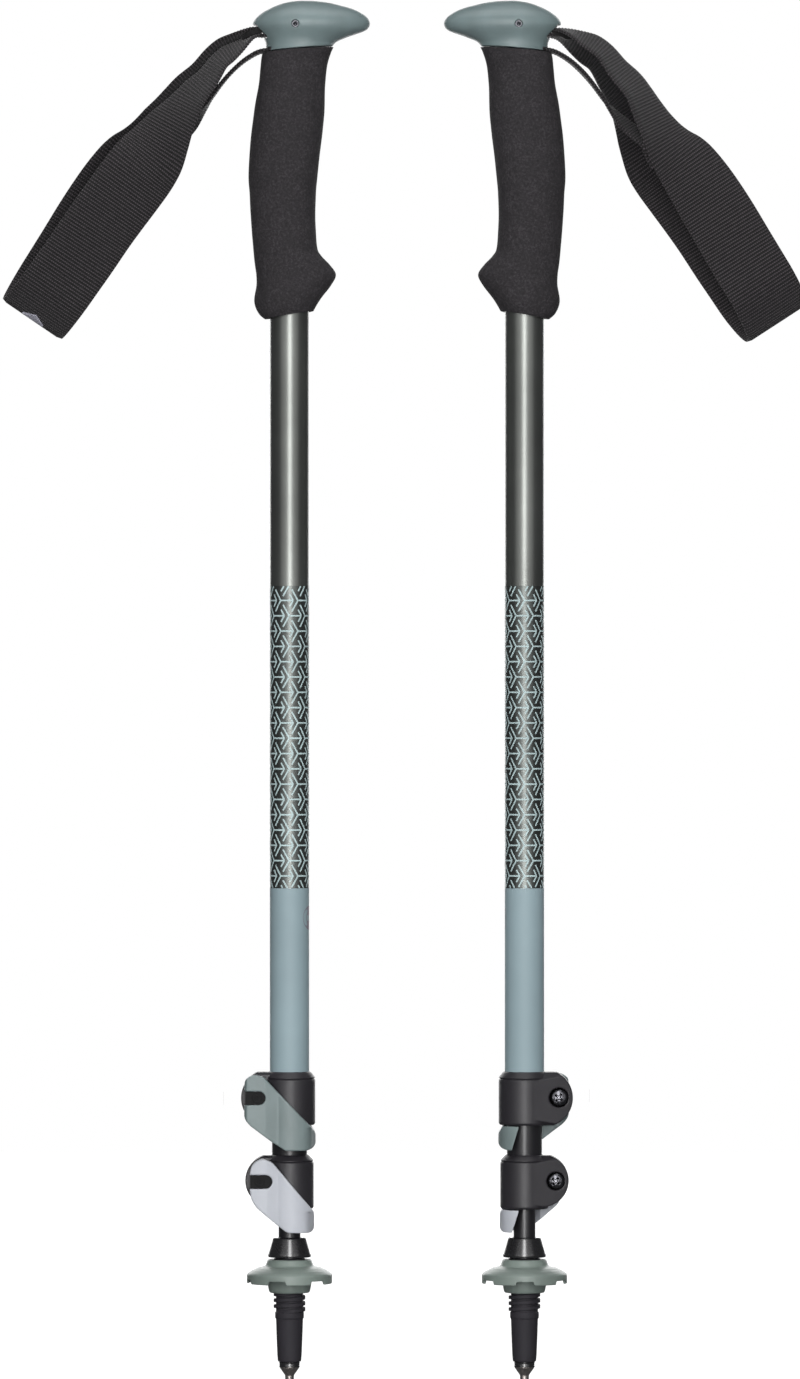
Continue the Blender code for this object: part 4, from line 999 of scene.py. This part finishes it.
def webbing_mesh(stations, thickness, rib_height, cells=14):
    """A flat strap with real cross ribs and rounded selvedges, and a UV map in metres across and along it."""
    shape = bmesh.new()
    uv = shape.loops.layers.uv.new("metres")
    rows, marks = [], []
    last = len(stations) - 1
    for k, (centre, width, half_width, along) in enumerate(stations):
        ahead = stations[min(k + 2, last)][0] - stations[max(k - 2, 0)][0]
        out = ahead.cross(width).normalized()
        rib = (0.5 - 0.5 * cos(2 * pi * along / RIB_PITCH)) ** 0.7
        waver = noise.noise(centre * 60) * 0.0003
        row, mark = [], []
        for face in (1, -1):
            for i in range(cells + 1):
                share = (-1 + 2 * i / cells) * face
                edge = 1 - abs(share)
                roundness = sqrt(min(1.0, max(edge * half_width / 0.0007, 0.0) + 0.05))
                lift = thickness / 2 * min(roundness, 1.0)
                lift -= rib_height * (1 - rib) * smooth(edge * half_width / 0.0010)
                wobble = waver * (1 + share)
                point = centre + width * (share * half_width) + out * (face * lift + wobble)
                row.append(shape.verts.new(point))
                mark.append(share * half_width)
        rows.append(row)
        marks.append((mark, along))
    size = 2 * (cells + 1)
    for k in range(last):
        for i in range(size):
            j = (i + 1) % size
            face = shape.faces.new((rows[k][i], rows[k][j], rows[k + 1][j], rows[k + 1][i]))
            spots = ((k, i), (k, j), (k + 1, j), (k + 1, i))
            for loop, (row, column) in zip(face.loops, spots):
                loop[uv].uv = (marks[row][0][column], marks[row][1])
    shape.faces.new(rows[0])
    shape.faces.new(rows[-1])
    return finish_mesh(shape, 70)


def about_pivot(droop):
    """A turn about the strap's joint that lets the loop hang lower."""
    back = Matrix.Translation(-STRAP_PIVOT)
    return Matrix.Translation(STRAP_PIVOT) @ Matrix.Rotation(-droop, 4, "Y") @ back


def hang(pole, name, mesh, droop, blend, nodes=None):
    """Hangs webbing from the head, turned about the strap's joint by droop."""
    mesh.transform(about_pivot(droop))
    obj = pole.add(name, mesh, "webbing", None, "webbing", nodes)
    head, loop = (pole.spot(*point) for point in blend)
    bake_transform(obj)


def strap(pole, droop, sag):
    straight = ROUTE.end - STRAP_BEND_LENGTH
    coarse = list(np.arange(ROUTE.start, straight, 0.001))
    coarse += [straight + STRAP_BEND_LENGTH * sin(pi / 2 * i / 40) for i in range(40)]
    stations = [strap_station(along, -1, sag) for along in coarse]
    stations.append(strap_station(ROUTE.end - 0.0000001, -1, sag))
    stations += [strap_station(along, 1, sag) for along in reversed(coarse)]
    mesh = webbing_mesh(even_stations(stations, RIB_PITCH / 4), STRAP_THICKNESS, RIB_HEIGHT)
    mesh = joined(mesh, strap_core(sag))
    hang(pole, "strap", mesh, droop, STRAP_BLEND, ["strap", "strap_anchor"])


def strap_core(sag):
    """The sewn wad between the loop's two layers, in the mouth of the head's slot."""
    rings = []
    for i in range(15):
        along = CORE_START + CORE_LENGTH * i / 14
        near, far = strap_station(along, -1, sag)[0], strap_station(along, 1, sag)[0]
        middle, half = (near + far) / 2, (near - far) / 2
        half.y = 0
        half *= 1 - 0.95 * smooth((along - 0.0025) / 0.004)
        wide = Vector((0, 0.0050 - 0.0030 * smooth(along / 0.007), 0))
        rings.append([
            middle + half + wide, middle + half - wide, middle - half - wide, middle - half + wide])
    return loft_mesh(rings)


def strap_tag(pole, droop, sag):
    """A small plain woven tag, sewn on the loop's -Y layer where it bends."""
    rings = []
    for i in range(9):
        along = ROUTE.end + TAG_START + TAG_LENGTH * i / 8
        centre, width, _ = strap_station(along, -1, sag)
        ahead = strap_station(along + 0.0003, -1, sag)[0] - strap_station(along - 0.0003, -1, sag)[0]
        out = ahead.cross(width).normalized()
        if out.y > 0:
            out = -out
        near, far = out * (STRAP_THICKNESS / 2 - 0.0001), out * (STRAP_THICKNESS / 2 + TAG_LIFT)
        low, high = width * (-0.0003 - 0.0055 * i / 8), width * (0.0003 + 0.0052 * i / 8)
        rings.append([centre + low + near, centre + high + near, centre + high + far, centre + low + far])
    mesh = loft_mesh(rings)
    mesh.transform(about_pivot(droop))
    pole.add("strap_tag", mesh, "label", "strap", "webbing", [])


def strap_tail(pole, droop, sag):
    joined_to = []
    for i in range(4):
        along = TAIL_JOIN_START + (TAIL_JOIN_END - TAIL_JOIN_START) * i / 3
        centre, width, half_width = strap_station(along, 1, sag)
        ahead = strap_station(along + 0.001, 1, sag)[0] - centre
        inside = ahead.cross(width).normalized()
        centre += inside * (STRAP_THICKNESS + 0.0004) + width * (half_width - TAIL_HALF_WIDTH)
        joined_to.append((centre, width))
    controls = [Vector(point) for point in TAIL_ROUTE] + [centre for centre, _ in joined_to]
    free, last = len(TAIL_ROUTE), len(joined_to) - 1
    every = []
    for i in range(8 * (len(controls) - 1) + 1):
        at = i / 8
        width = Vector((0, 1, 0)).slerp(joined_to[0][1], smooth((at - free + 3) / 3))
        if at >= free:
            k = min(int(at) - free, last)
            width = joined_to[k][1].slerp(joined_to[min(k + 1, last)][1], at - int(at))
        every.append((Vector(curve_point(controls, at)), width, TAIL_HALF_WIDTH))
    mesh = webbing_mesh(even_stations(every, RIB_PITCH / 4), TAIL_THICKNESS, TAIL_RIB_HEIGHT, 10)
    hang(pole, "strap_tail", mesh, droop, TAIL_BLEND)


# Camera, lights and floor
def stage():
    scene = bpy.context.scene
    camera = linked("camera", bpy.data.cameras.new("camera"))
    camera.location = (-0.0032, -4.0, 0.3185)
    camera.rotation_euler = (pi / 2, 0, 0)
    camera.data.sensor_width = 36
    camera.data.lens = 228.0
    camera.data.clip_start = 0.1
    camera.data.clip_end = 100
    scene.camera = camera
    scene.view_settings.view_transform = "Standard"

    world = bpy.data.worlds.new("studio")
    scene.world = world
    world.use_nodes = True
    nodes, links = world.node_tree.nodes, world.node_tree.links
    seen = nodes.new("ShaderNodeBackground")
    seen.inputs["Color"].default_value = (1, 1, 1, 1)
    unseen = nodes["Background"]
    unseen.inputs["Color"].default_value = (0.93, 0.96, 1.0, 1)
    unseen.inputs["Strength"].default_value = 0.12
    path, mix = nodes.new("ShaderNodeLightPath"), nodes.new("ShaderNodeMixShader")
    links.new(path.outputs["Is Camera Ray"], mix.inputs[0])
    links.new(unseen.outputs[0], mix.inputs[1])
    links.new(seen.outputs[0], mix.inputs[2])
    links.new(mix.outputs[0], nodes["World Output"].inputs["Surface"])

    floor = linked("floor", box_mesh((-2.0, -2.0, -0.004), (2.0, 2.0, 0.0)))
    paint = Look("floor_white", (96, 96, 96), 0.9, Emission_Color=(1, 1, 1, 1), Emission_Strength=0.95)
    paint.tones(paint.noise(3.0), 0.01)
    floor.data.materials.append(paint.material)
    floor.visible_diffuse = False
    floor.visible_glossy = False

    for name, at, aim, size, power in (
        ("front_strip", (0.02, -1.6, 0.45), (0, 0, 0.36), (0.42, 1.8), 22),
        ("front_wide", (0.0, -1.9, 0.55), (0, 0, 0.34), (4.6, 1.6), 19),
        ("low", (0.0, -1.3, 0.04), (0, 0, 0.2), (1.6, 0.05), 3),
        ("top", (0.0, -0.25, 1.9), (0, 0, 0.4), (1.4, 0.9), 12),
        ("back", (0.0, 1.9, 0.7), (0, 0, 0.35), (2.4, 1.4), 36),
    ):
        light = linked(name, bpy.data.lights.new(name, "AREA"))
        light.data.shape = "RECTANGLE"
        light.data.size, light.data.size_y = size
        light.data.energy = power
        light.location = at
        light.rotation_euler = (Vector(at) - Vector(aim)).to_track_quat("Z", "Y").to_euler()
        light.visible_camera = False


stage()
for pole, basket_turn, droop, sag in (
        (Pole("left", -AXIS_X, 0), -17, 0, 0.0021),
        (Pole("right", AXIS_X, pi), 0, radians(1.0), -0.0010)):
    tip_point(pole)
    tip_body(pole)
    basket(pole, basket_turn)
    tip_collar(pole)
    shafts(pole)
    for lock in (LOWER_LOCK, UPPER_LOCK):
        lock_collar(pole, lock)
        lock_lever(pole, lock)
        lock_screw(pole, lock)
        lock_barrel(pole, lock)
    grip_foam(pole)
    grip_head(pole)
    strap(pole, droop, sag)
    strap_tail(pole, droop, sag)
    strap_tag(pole, droop, sag)
    for node in ("lower_bushing", "middle_bushing", "grip_core", "strap_wedge"):
        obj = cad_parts[f"{pole.name}_{node}"]
        for part in obj.material_slots:
            part.material = MATERIALS["inner"]
